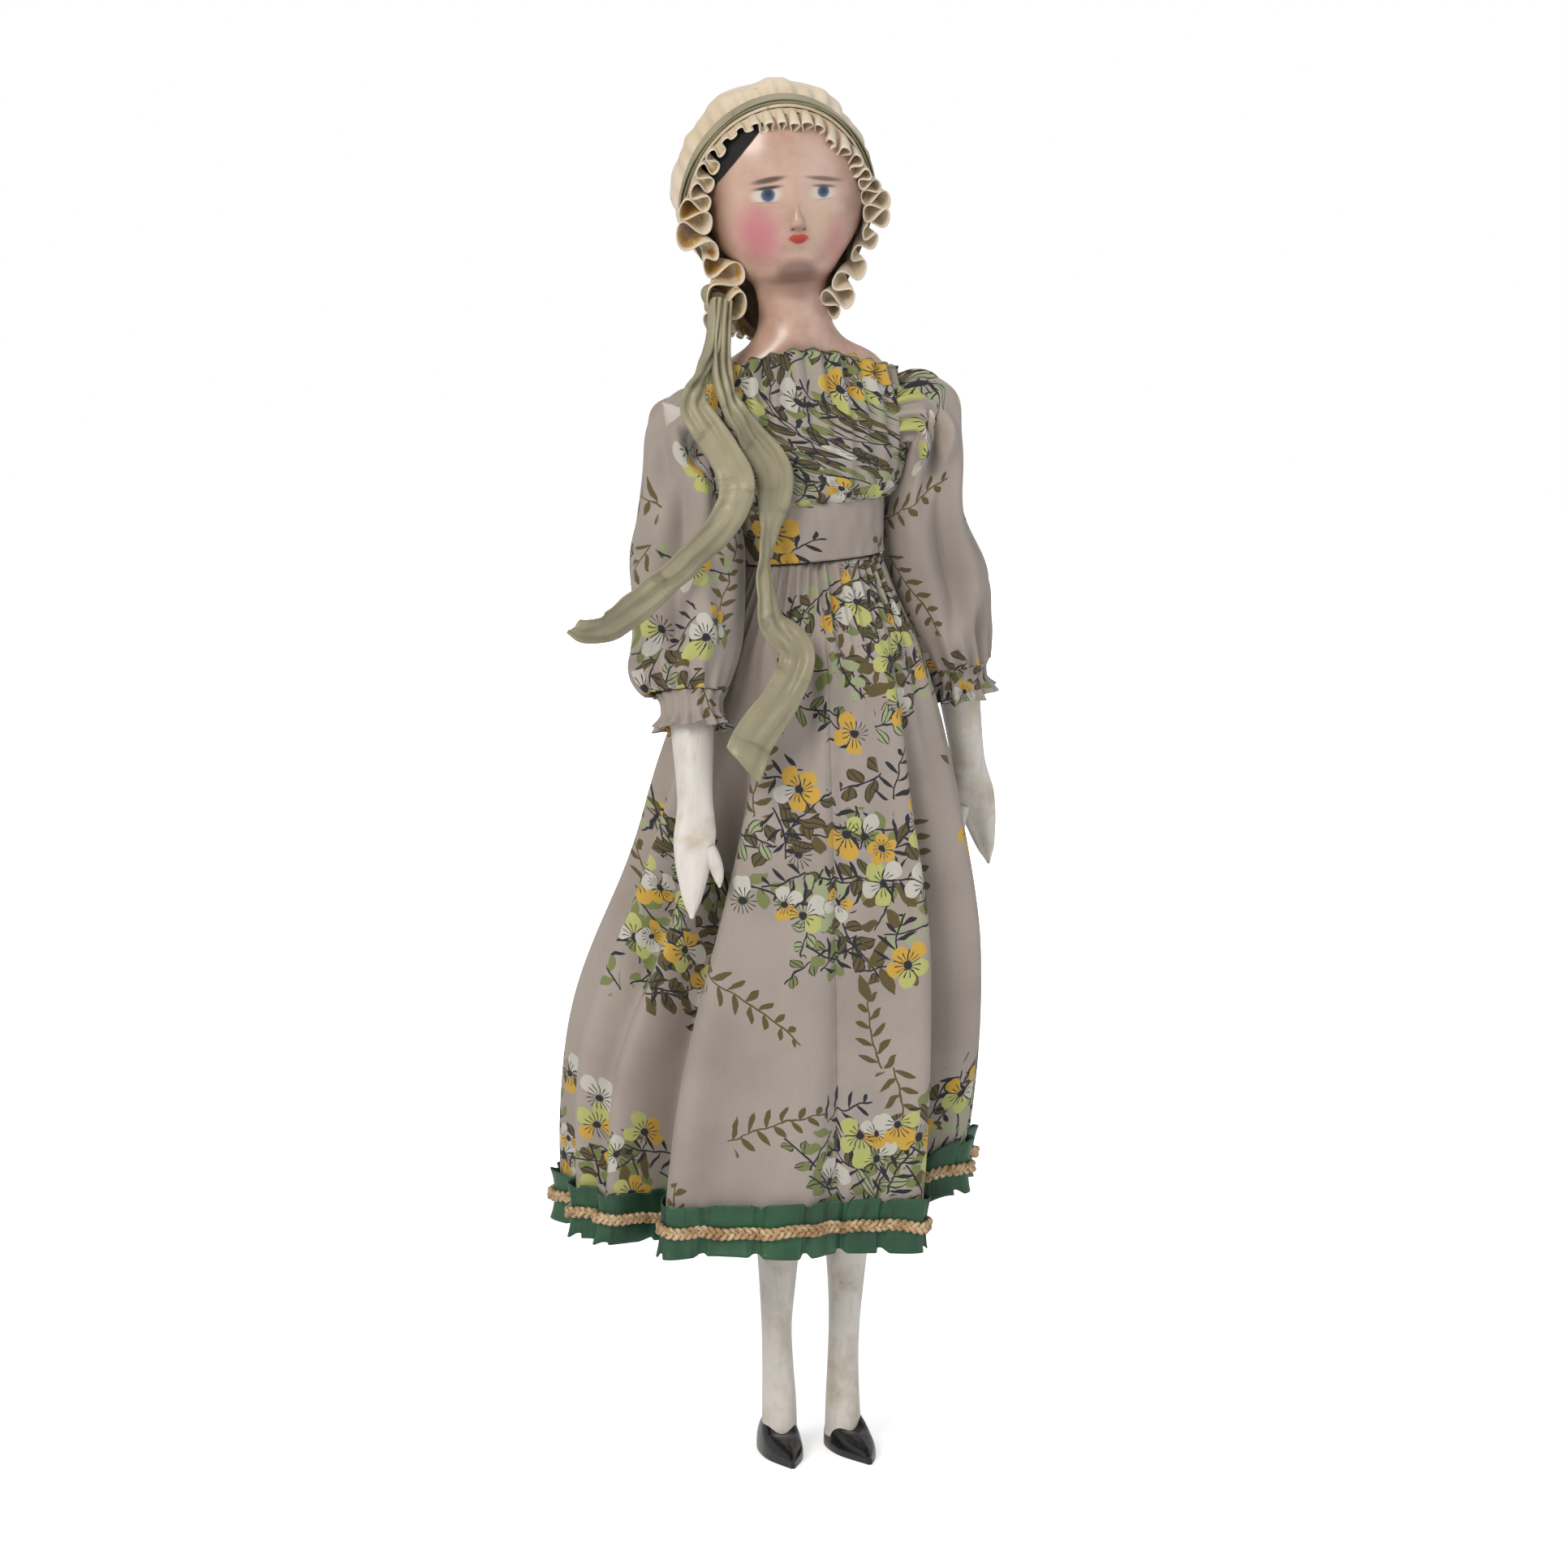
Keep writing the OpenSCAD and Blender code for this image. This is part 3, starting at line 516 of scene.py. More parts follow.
@shared_group(
    "rubbed_paint",
    {"Place": "vector", "Amount": "value"},
    {"Fleck": "value", "Tone": "value", "Brush": "value"},
)
def rubbed(w: Wiring, i: Sockets) -> Sockets:
    """Where old paint is rubbed: Fleck marks small bare patches, Tone slow uneven darkening, Brush fine strokes."""
    broad = w.noise(i["Place"], 95.0, 3.0, 0.6)
    fine = w.noise(i["Place"], 620.0, 3.0, 0.65)
    stretched = w.vector("MULTIPLY", i["Place"], (1.0, 1.0, 0.12))
    brush = w.noise(stretched, 900.0, 2.0, 0.5)
    score = w.plus(w.times(broad, 0.55), w.times(fine, 0.45))
    score = w.plus(score, i["Amount"])
    return {"Fleck": w.ease(score, 0.66, 0.74), "Tone": broad, "Brush": brush}


@shared_group("weave", {"Place": "vector", "Threads": "value"}, {"Height": "value", "Shade": "value"})
def woven(w: Wiring, i: Sockets) -> Sockets:
    """Plain weave: two sets of threads, each a sine ridge, one over the other in a chequer. Gives Height and Shade."""
    x, y, _ = w.split(w.vector("SCALE", i["Place"], i["Threads"]))
    wave_x, wave_y = w.calc("SINE", w.times(x, math.tau)), w.calc("SINE", w.times(y, math.tau))
    cross = w.times(wave_x, wave_y)
    slub = w.noise(w.vector("MULTIPLY", i["Place"], (1.0, 0.08, 1.0)), 900.0, 2.0)
    height = w.plus(w.times(cross, 0.5), slub)
    return {"Height": height, "Shade": w.plus(w.times(cross, 0.12), slub)}


@shared_group(
    "scattered_motif",
    {"Place": "vector", "Cell": "value", "Seed": "value", "Turn": "value"},
    {"Local": "vector", "Pick": "value", "Other": "value", "Centre": "vector"},
)
def scattered(w: Wiring, i: Sockets) -> Sockets:
    """Puts one motif in each square cell: its own coordinates, turned at random, two random picks and its centre."""
    grid = w.vector("DIVIDE", i["Place"], w.join(i["Cell"], i["Cell"], 1.0))
    shifted = w.vector("ADD", grid, w.join(w.times(i["Seed"], 0.37), w.times(i["Seed"], 0.71)))
    cell = w.vector("FLOOR", shifted)
    white = w.node("ShaderNodeTexWhiteNoise", noise_dimensions="3D")
    w.feed(white.inputs[0], w.vector("ADD", cell, w.join(0.0, 0.0, i["Seed"])))
    one, two, three = w.split(white.outputs[1])
    drift = w.vector("SCALE", w.join(w.minus(one, 0.5), w.minus(two, 0.5)), 0.42)
    middle = w.vector("ADD", w.vector("ADD", cell, (0.5, 0.5, 0.0)), drift)
    x, y, _ = w.split(w.vector("SCALE", w.vector("SUBTRACT", shifted, middle), i["Cell"]))
    turn = w.node("ShaderNodeVectorRotate", rotation_type="Z_AXIS")
    w.feed(turn.inputs[0], w.join(x, y))
    angle = w.times(w.minus(three, 0.5), i["Turn"])
    w.feed(turn.inputs["Angle"], angle)
    back = w.vector("SUBTRACT", middle, w.join(w.times(i["Seed"], 0.37), w.times(i["Seed"], 0.71)))
    return {
        "Local": turn.outputs[0],
        "Pick": white.outputs[0],
        "Other": w.calc("FRACT", w.times(w.plus(one, two), 7.3)),
        "Centre": w.vector("SCALE", back, i["Cell"]),
    }


@shared_group(
    "printed_bloom",
    {"Local": "vector", "Radius": "value", "Petals": "value", "Pick": "value"},
    {"Mask": "value", "Heart": "value", "Petal": "value"},
)
def bloom(w: Wiring, i: Sockets) -> Sockets:
    """Flower of a few rounded petals of unequal length, each an ellipse in angle and radius, round a heart of strokes.

    About a third of the petals are left out, so that most flowers are open fans.
    """
    x, y, _ = w.split(i["Local"])
    r = w.vector("LENGTH", i["Local"], out=1)
    turn = w.plus(w.over(w.calc("ARCTAN2", y, x), math.tau), 0.5)
    sector = w.times(turn, i["Petals"])
    petal = w.calc("FLOOR", sector)
    white = w.node("ShaderNodeTexWhiteNoise", noise_dimensions="2D")
    w.feed(white.inputs[0], w.join(petal, w.times(i["Pick"], 91.0)))
    pick = white.outputs[0]
    across = w.over(w.minus(w.calc("FRACT", sector), 0.5), 0.47)
    size = w.times(i["Radius"], w.plus(w.times(pick, 0.4), 0.72))
    out = w.over(w.minus(w.over(r, size), 0.55), 0.47)
    edge = w.plus(w.times(across, across), w.times(out, out))
    streak = w.calc("ABSOLUTE", w.minus(w.calc("FRACT", w.times(sector, 3.0)), 0.5))
    near = w.over(r, i["Radius"])
    strokes = w.times(w.ease(streak, 0.34, 0.42), w.ease(near, 0.62, 0.5))
    heart = w.calc("MAXIMUM", w.ease(near, 0.2, 0.15), strokes)
    open_petal = w.calc("GREATER_THAN", pick, 0.36)
    kept = w.over(w.minus(pick, 0.36), 0.64)
    return {"Mask": w.times(w.ease(edge, 1.0, 0.9), open_petal), "Heart": heart, "Petal": kept}


@shared_group(
    "printed_frond",
    {"Local": "vector", "Length": "value", "Step": "value", "Leaf": "value", "Width": "value", "Bow": "value"},
    {"Mask": "value", "Stem": "value", "Line": "value"},
)
def frond(w: Wiring, i: Sockets) -> Sockets:
    """Stem with leaves at even steps on alternate sides; each leaf is a slanted lens that shrinks towards the tip."""
    x, y, _ = w.split(i["Local"])
    bow = w.times(w.times(y, y), i["Bow"])
    x = w.minus(x, bow)
    rise = w.plus(w.over(y, i["Length"]), 0.5)
    side = w.calc("GREATER_THAN", x, 0.0)
    step = w.plus(w.over(y, i["Step"]), w.times(side, 0.5))
    f = w.times(w.minus(w.calc("FRACT", step), 0.5), i["Step"])
    leaf = w.times(i["Leaf"], w.minus(1.0, w.times(w.times(rise, rise), 0.65)))
    a = w.over(w.calc("ABSOLUTE", x), leaf)
    slant = w.times(w.times(w.minus(a, 0.5), leaf), 0.55)
    off = w.calc("ABSOLUTE", w.minus(f, slant))
    lens = w.times(w.times(a, w.minus(1.0, a)), 4.0)
    half = w.times(i["Width"], lens)
    inside = w.times(w.calc("LESS_THAN", a, 1.0), w.times(w.ease(rise, 0.03, 0.06), w.ease(rise, 1.0, 0.97)))
    share = w.over(off, w.calc("MAXIMUM", half, 1e-5))
    mask = w.times(w.ease(share, 1.0, 0.85), inside)
    ends = w.times(w.ease(rise, 0.0, 0.02), w.ease(rise, 1.02, 1.0))
    stem = w.times(w.ease(w.calc("ABSOLUTE", x), 0.00032, 0.00018), ends)
    rim = w.times(mask, w.ease(share, 0.62, 0.8))
    rib = w.times(mask, w.ease(off, 0.00022, 0.0001))
    return {"Mask": mask, "Stem": stem, "Line": w.calc("MAXIMUM", rim, rib)}


@dataclass(frozen=True)
class Motif:
    """One layer of the print.

    Attributes:
        cell: side of the squares it is scattered in, metres.
        seed: fixes where its motifs fall.
        crowd: how strongly it keeps to the bouquets, 0 anywhere to 1 only there.
        share: share of the cells it fills where it may.
        petals: petals of a flower, or none for a frond.
        reach: a flower's radius, or a frond's length, metres.
        colours: its fill colours, by random pick.
        line: colour of its hearts, stems and outlines.
        leaf: a frond's (step, leaf length, half width, bow).
    """

    cell: float
    seed: float
    crowd: float
    share: float
    petals: int
    reach: float
    colours: tuple[str, ...]
    line: str
    leaf: tuple[float, float, float, float] = (0.0, 0.0, 0.0, 0.0)


BOUQUET_CELL = 0.078
NAVY, OLIVE, MOSS, PALE, LIME, AMBER, MILK = "#20222b", "#594e2d", "#727a4a", "#949d78", "#adb06a", "#c09a3f", "#bbb8ae"
PRINT = (
    Motif(0.033, 3.0, 0.30, 0.60, 0, 0.029, (OLIVE,), OLIVE, (0.0046, 0.0054, 0.0010, 9.0)),
    Motif(0.029, 7.0, 0.55, 0.62, 0, 0.024, (MOSS, PALE), NAVY, (0.0068, 0.0060, 0.0017, -11.0)),
    Motif(0.0150, 5.0, 1.00, 0.95, 0, 0.015, (OLIVE, OLIVE, MOSS), NAVY, (0.0062, 0.0062, 0.0022, 14.0)),
    Motif(0.0138, 11.0, 1.00, 0.90, 0, 0.014, (OLIVE, PALE, MOSS), NAVY, (0.0052, 0.0056, 0.0017, -18.0)),
    Motif(0.0190, 13.0, 1.00, 0.80, 0, 0.0175, (OLIVE, PALE, OLIVE), NAVY, (0.0068, 0.0092, 0.0019, 20.0)),
    Motif(0.0150, 9.0, 1.00, 0.85, 0, 0.0145, (NAVY,), NAVY, (0.0040, 0.0066, 0.0006, 22.0)),
    Motif(0.0150, 2.0, 0.99, 0.62, 5, 0.0062, (MILK, LIME, MILK, LIME), NAVY),
    Motif(0.0160, 6.0, 0.98, 0.62, 5, 0.0064, (AMBER, LIME, AMBER, MILK), NAVY),
    Motif(0.0125, 4.0, 0.99, 0.34, 5, 0.0046, (AMBER, MILK), NAVY),
    Motif(0.036, 8.0, 0.05, 0.42, 5, 0.0060, (AMBER, LIME, MILK), NAVY),
)


@shared_group(
    "garden_print",
    {"Place": "vector", "Ground": "colour", "Seed": "value", "Fullness": "value"},
    {"Colour": "colour"},
)
def garden_print(w: Wiring, i: Sockets) -> Sockets:
    """The cloth's print: bouquets about 80 mm apart, thick with leaves and flowers, and loose sprigs between them."""
    colour = i["Ground"]
    wobble = w.noise(i["Place"], 260.0, 1.0)
    place = w.vector("ADD", i["Place"], w.vector("SCALE", w.join(w.minus(wobble, 0.5), w.minus(0.5, wobble)), 0.0016))
    for motif in PRINT:
        spot = w.use(scattered(), Place=place, Cell=motif.cell, Seed=motif.seed, Turn=math.tau)
        bouquet = w.use(scattered(), Place=spot["Centre"], Cell=BOUQUET_CELL, Seed=i["Seed"], Turn=0.0)
        close = w.ease(w.vector("LENGTH", bouquet["Local"], out=1), 0.038, 0.018)
        close = w.plus(close, i["Fullness"], clamp=True)
        chance = w.plus(w.times(close, motif.crowd), 1.0 - motif.crowd)
        shown = w.calc("LESS_THAN", spot["Other"], w.times(chance, motif.share))
        fill = picked_colour(w, motif.colours, spot["Pick"])
        if motif.petals:
            petals = float(motif.petals)
            flower = w.use(bloom(), Local=spot["Local"], Radius=motif.reach, Petals=petals, Pick=spot["Pick"])
            petal = picked_colour(w, motif.colours, flower["Petal"])
            colour = w.mix(w.times(flower["Mask"], shown), colour, petal)
            colour = w.tint(colour, w.times(flower["Heart"], shown), motif.line)
        else:
            step, leaf, width, bow = motif.leaf
            twig = w.use(frond(), Local=spot["Local"], Length=motif.reach, Step=step, Leaf=leaf, Width=width, Bow=bow)
            colour = w.mix(w.times(twig["Mask"], shown), colour, fill)
            line = w.calc("MAXIMUM", twig["Stem"], w.times(twig["Line"], w.calc("LESS_THAN", spot["Pick"], 0.55)))
            colour = w.tint(colour, w.times(line, shown), motif.line)
    return {"Colour": colour}


def picked_colour(w: Wiring, colours: tuple[str, ...], pick: NodeSocket) -> object:
    """One of the colours, by a random pick from 0 to 1."""
    colour: object = paint(colours[0])
    for index, code in enumerate(colours[1:], 1):
        colour = w.tint(colour, w.calc("GREATER_THAN", pick, index / len(colours)), code)
    return colour


def new_material(name: str, **plain: object) -> tuple[Material, Wiring, Node]:
    """A material with one Principled BSDF, with its even values set on its own sockets."""
    made = bpy.data.materials.new(name)
    made.use_nodes = True
    shader = made.node_tree.nodes["Principled BSDF"]
    for key, value in plain.items():
        shader.inputs[key.replace("_", " ")].default_value = value
    return made, Wiring(made.node_tree), shader


def cloth_place(w: Wiring) -> NodeSocket:
    """The cloth coordinates of a piece: metres across and along the flat cloth."""
    return w.node("ShaderNodeUVMap", uv_map="cloth").outputs[0]


def object_place(w: Wiring) -> NodeSocket:
    """Object coordinates, which are metres in the row frame because each piece's object sits at the origin."""
    return w.node("ShaderNodeTexCoord").outputs["Object"]


def raise_surface(w: Wiring, shader: Node, height: object, depth_mm: float, strength: float = 1.0) -> None:
    """Feeds a height to the shader's normal through a Bump node of that depth."""
    raised = w.node("ShaderNodeBump")
    raised.inputs["Strength"].default_value = strength
    raised.inputs["Distance"].default_value = depth_mm * MM
    w.feed(raised.inputs["Height"], height)
    w.feed(shader.inputs["Normal"], raised.outputs[0])


@dataclass(frozen=True)
class PaintedWood:
    """Old satin paint on wood, rubbed to tan in small patches, more of them where wear is higher."""

    name: str
    colour: str = "#cfcac3"
    under: str = "#a8865f"
    shade: str = "#b9ad9c"
    wear: float = 0.0

    def material(self) -> Material:
        """Builds the finish."""
        made, w, shader = new_material(self.name, Roughness=0.42, Coat_Weight=0.12, Coat_Roughness=0.3)
        place = object_place(w)
        old = w.use(rubbed(), Place=place, Amount=self.wear)
        colour = w.mix(w.ease(old["Tone"], 0.45, 0.72), paint(self.colour), paint(self.shade))
        colour = w.tint(colour, w.ease(old["Brush"], 0.5, 0.75), self.shade, 0.35)
        w.feed(shader.inputs["Base Color"], w.tint(colour, old["Fleck"], self.under))
        w.feed(shader.inputs["Roughness"], w.plus(w.times(old["Fleck"], 0.25), 0.4))
        raise_surface(w, shader, w.minus(w.times(old["Brush"], 0.4), old["Fleck"]), 0.12)
        return made


@dataclass(frozen=True)
class BareWood:
    """Turned dowel: long grain along X with fine dark pores."""

    name: str = "bare_wood"

    def material(self) -> Material:
        """Builds the finish."""
        made, w, shader = new_material(self.name, Roughness=0.62)
        grain = w.noise(w.vector("MULTIPLY", object_place(w), (0.08, 1.0, 1.0)), 1400.0, 4.0, 0.6)
        w.feed(shader.inputs["Base Color"], w.mix(w.ease(grain, 0.35, 0.7), paint("#8c6a45"), paint("#c19a6b")))
        raise_surface(w, shader, grain, 0.1)
        return made


@dataclass(frozen=True)
class BlackSlipper:
    """Glossy black paint of the carved slippers, scuffed brown here and there."""

    name: str = "slipper_black"

    def material(self) -> Material:
        """Builds the finish."""
        made, w, shader = new_material(self.name, Roughness=0.2, Coat_Weight=0.5, Coat_Roughness=0.12)
        old = w.use(rubbed(), Place=object_place(w), Amount=-0.02)
        w.feed(shader.inputs["Base Color"], w.mix(old["Fleck"], paint("#1b1a1d"), paint("#51443a")))
        w.feed(shader.inputs["Roughness"], w.plus(w.times(old["Tone"], 0.3), 0.08))
        raise_surface(w, shader, old["Brush"], 0.15)
        return made


@dataclass(frozen=True)
class PrintedCloth:
    """Fine cotton lawn in grey mauve, printed with the garden print along its own UV map."""

    name: str
    seed: float = 1.0
    fullness: float = 0.0
    ground: str = "#a1978f"

    def material(self) -> Material:
        """Builds the finish."""
        made, w, shader = new_material(
            self.name, Roughness=0.82, Sheen_Weight=0.12, Sheen_Roughness=0.5, Specular_IOR_Level=0.25
        )
        place = cloth_place(w)
        weave = w.use(woven(), Place=place, Threads=2400.0)
        tone = w.noise(object_place(w), 40.0, 3.0)
        ground = w.mix(w.ease(tone, 0.3, 0.75), paint(self.ground), paint("#948a82"))
        printed = w.use(garden_print(), Place=place, Ground=ground, Seed=self.seed, Fullness=self.fullness)["Colour"]
        w.feed(shader.inputs["Base Color"], w.tint(printed, weave["Shade"], "#6d645d", 0.12))
        w.feed(shader.inputs["Roughness"], w.plus(w.times(weave["Shade"], 0.1), 0.76))
        raise_surface(w, shader, weave["Height"], 0.035, 0.7)
        return made


@dataclass(frozen=True)
class Ribbon:
    """Silk or satin ribbon: ribbed across its length, creased, with a soft sheen along the ribs; its lighter tone is
    painted light in random patches, and its darker tone is painted shade in the creases and along the ribs.
    """

    name: str
    colour: str
    # lighter copy of the colour, laid as painted light
    light: str
    # darker copy of the colour, laid as painted shade
    dark: str
    gloss: float = 0.42
    sheen: float = 0.35

    def material(self) -> Material:
        """Builds the finish."""
        made, w, shader = new_material(self.name, Sheen_Weight=self.sheen, Sheen_Roughness=0.35, Specular_IOR_Level=0.5)
        place = cloth_place(w)
        ribs = w.noise(w.vector("MULTIPLY", place, (0.05, 1.0, 1.0)), 3600.0, 2.0)
        creases = w.noise(w.vector("MULTIPLY", place, (1.0, 0.35, 1.0)), 210.0, 3.0, 0.6)
        body = w.noise(object_place(w), 60.0, 2.0)
        # random patches of painted light over the ribbon's colour
        colour = w.mix(w.ease(body, 0.35, 0.7), paint(self.colour), paint(self.light))
        # painted shade in the creases
        colour = w.tint(colour, w.ease(creases, 0.55, 0.72), self.dark, 0.55)
        # painted shade along the ribs
        colour = w.tint(colour, w.ease(ribs, 0.5, 0.8), self.dark, 0.25)
        w.feed(shader.inputs["Base Color"], colour)
        w.feed(shader.inputs["Roughness"], w.plus(w.times(creases, 0.25), self.gloss - 0.1))
        raise_surface(w, shader, w.plus(w.times(ribs, 0.15), creases), 0.35, 0.8)
        return made


@dataclass(frozen=True)
class AgedSilk:
    """Cream silk gone yellow, with gold and brown stains that gather low on the doll's right side.

    Attributes:
        name: the finish's name.
        stain: how strongly the stains gather.
        hem: distance of the paler free edge across the strip, in metres, or 0 for none.
    """

    name: str
    stain: float = 0.0
    hem: float = 0.0

    def material(self) -> Material:
        """Builds the finish."""
        made, w, shader = new_material(self.name, Roughness=0.62, Sheen_Weight=0.25, Sheen_Roughness=0.4)
        place = object_place(w)
        x, _, z = w.split(place)
        low = w.times(w.ease(x, 0.012, -0.03), w.ease(z, 0.118, 0.086))
        spots = w.noise(place, 210.0, 3.0, 0.55)
        gold = w.ease(w.plus(spots, w.times(low, 0.2 * self.stain)), 0.64, 0.76)
        brown = w.ease(w.plus(w.noise(place, 420.0, 2.0), w.times(low, 0.08 * self.stain)), 0.72, 0.8)
        tone = w.noise(place, 55.0, 2.0)
        slub = w.noise(w.vector("MULTIPLY", place, (1.0, 1.0, 0.15)), 2600.0, 2.0)
        colour = w.mix(w.ease(tone, 0.35, 0.7), paint("#d8cab4"), paint("#c9b89c"))
        colour = w.tint(colour, gold, "#bb9144")
        colour = w.tint(colour, brown, "#94642b", 0.8)
        if self.hem > 0:
            _, down, _ = w.split(cloth_place(w))
            colour = w.tint(colour, w.ease(down, self.hem - 0.0016, self.hem - 0.0006), "#ddd3c0", 0.8)
        w.feed(shader.inputs["Base Color"], w.tint(colour, slub, "#a48f6a", 0.22))
        raise_surface(w, shader, slub, 0.12, 0.7)
        return made


@dataclass(frozen=True)
class GoldBraid:
    """Dulled metal thread wound in fine turns, tan with light and brown strands."""

    name: str = "gold_braid"

    def material(self) -> Material:
        """Builds the finish."""
        made, w, shader = new_material(self.name, Roughness=0.48, Metallic=0.15, Sheen_Weight=0.2)
        place = cloth_place(w)
        thread = w.noise(w.vector("MULTIPLY", place, (0.4, 1.0, 1.0)), 2600.0, 2.0)
        tone = w.noise(object_place(w), 260.0, 3.0, 0.6)
        colour = w.mix(w.ease(tone, 0.35, 0.68), paint("#a17f55"), paint("#cdb38b"))
        w.feed(shader.inputs["Base Color"], w.tint(colour, w.ease(thread, 0.52, 0.72), "#6e4f33"))
        raise_surface(w, shader, thread, 0.25)
        return made


@dataclass(frozen=True)
class Spot:
    """A painted ellipse on the head, in straight millimetres: x across, z above the soles.

    Attributes:
        x, z: its middle.
        wide, high: its half width and half height.
        turn: degrees that it is turned anticlockwise, as seen from the front.
        soft: share of its radius over which its edge fades.
    """

    x: float
    z: float
    wide: float
    high: float
    turn: float = 0.0
    soft: float = 0.2

    def mask(self, w: Wiring, x: object, z: object) -> NodeSocket:
        """1 inside the ellipse: the square root of (along / wide)^2 + (up / high)^2 eased from 1 - soft to 1 + soft."""
        c, s = math.cos(math.radians(self.turn)), math.sin(math.radians(self.turn))
        dx, dz = w.minus(x, self.x), w.minus(z, self.z)
        along_x = w.plus(w.times(dx, c / self.wide), w.times(dz, s / self.wide))
        along_z = w.minus(w.times(dz, c / self.high), w.times(dx, s / self.high))
        return w.ease(w.vector("LENGTH", w.join(along_x, along_z), out=1), 1 + self.soft, 1 - self.soft)


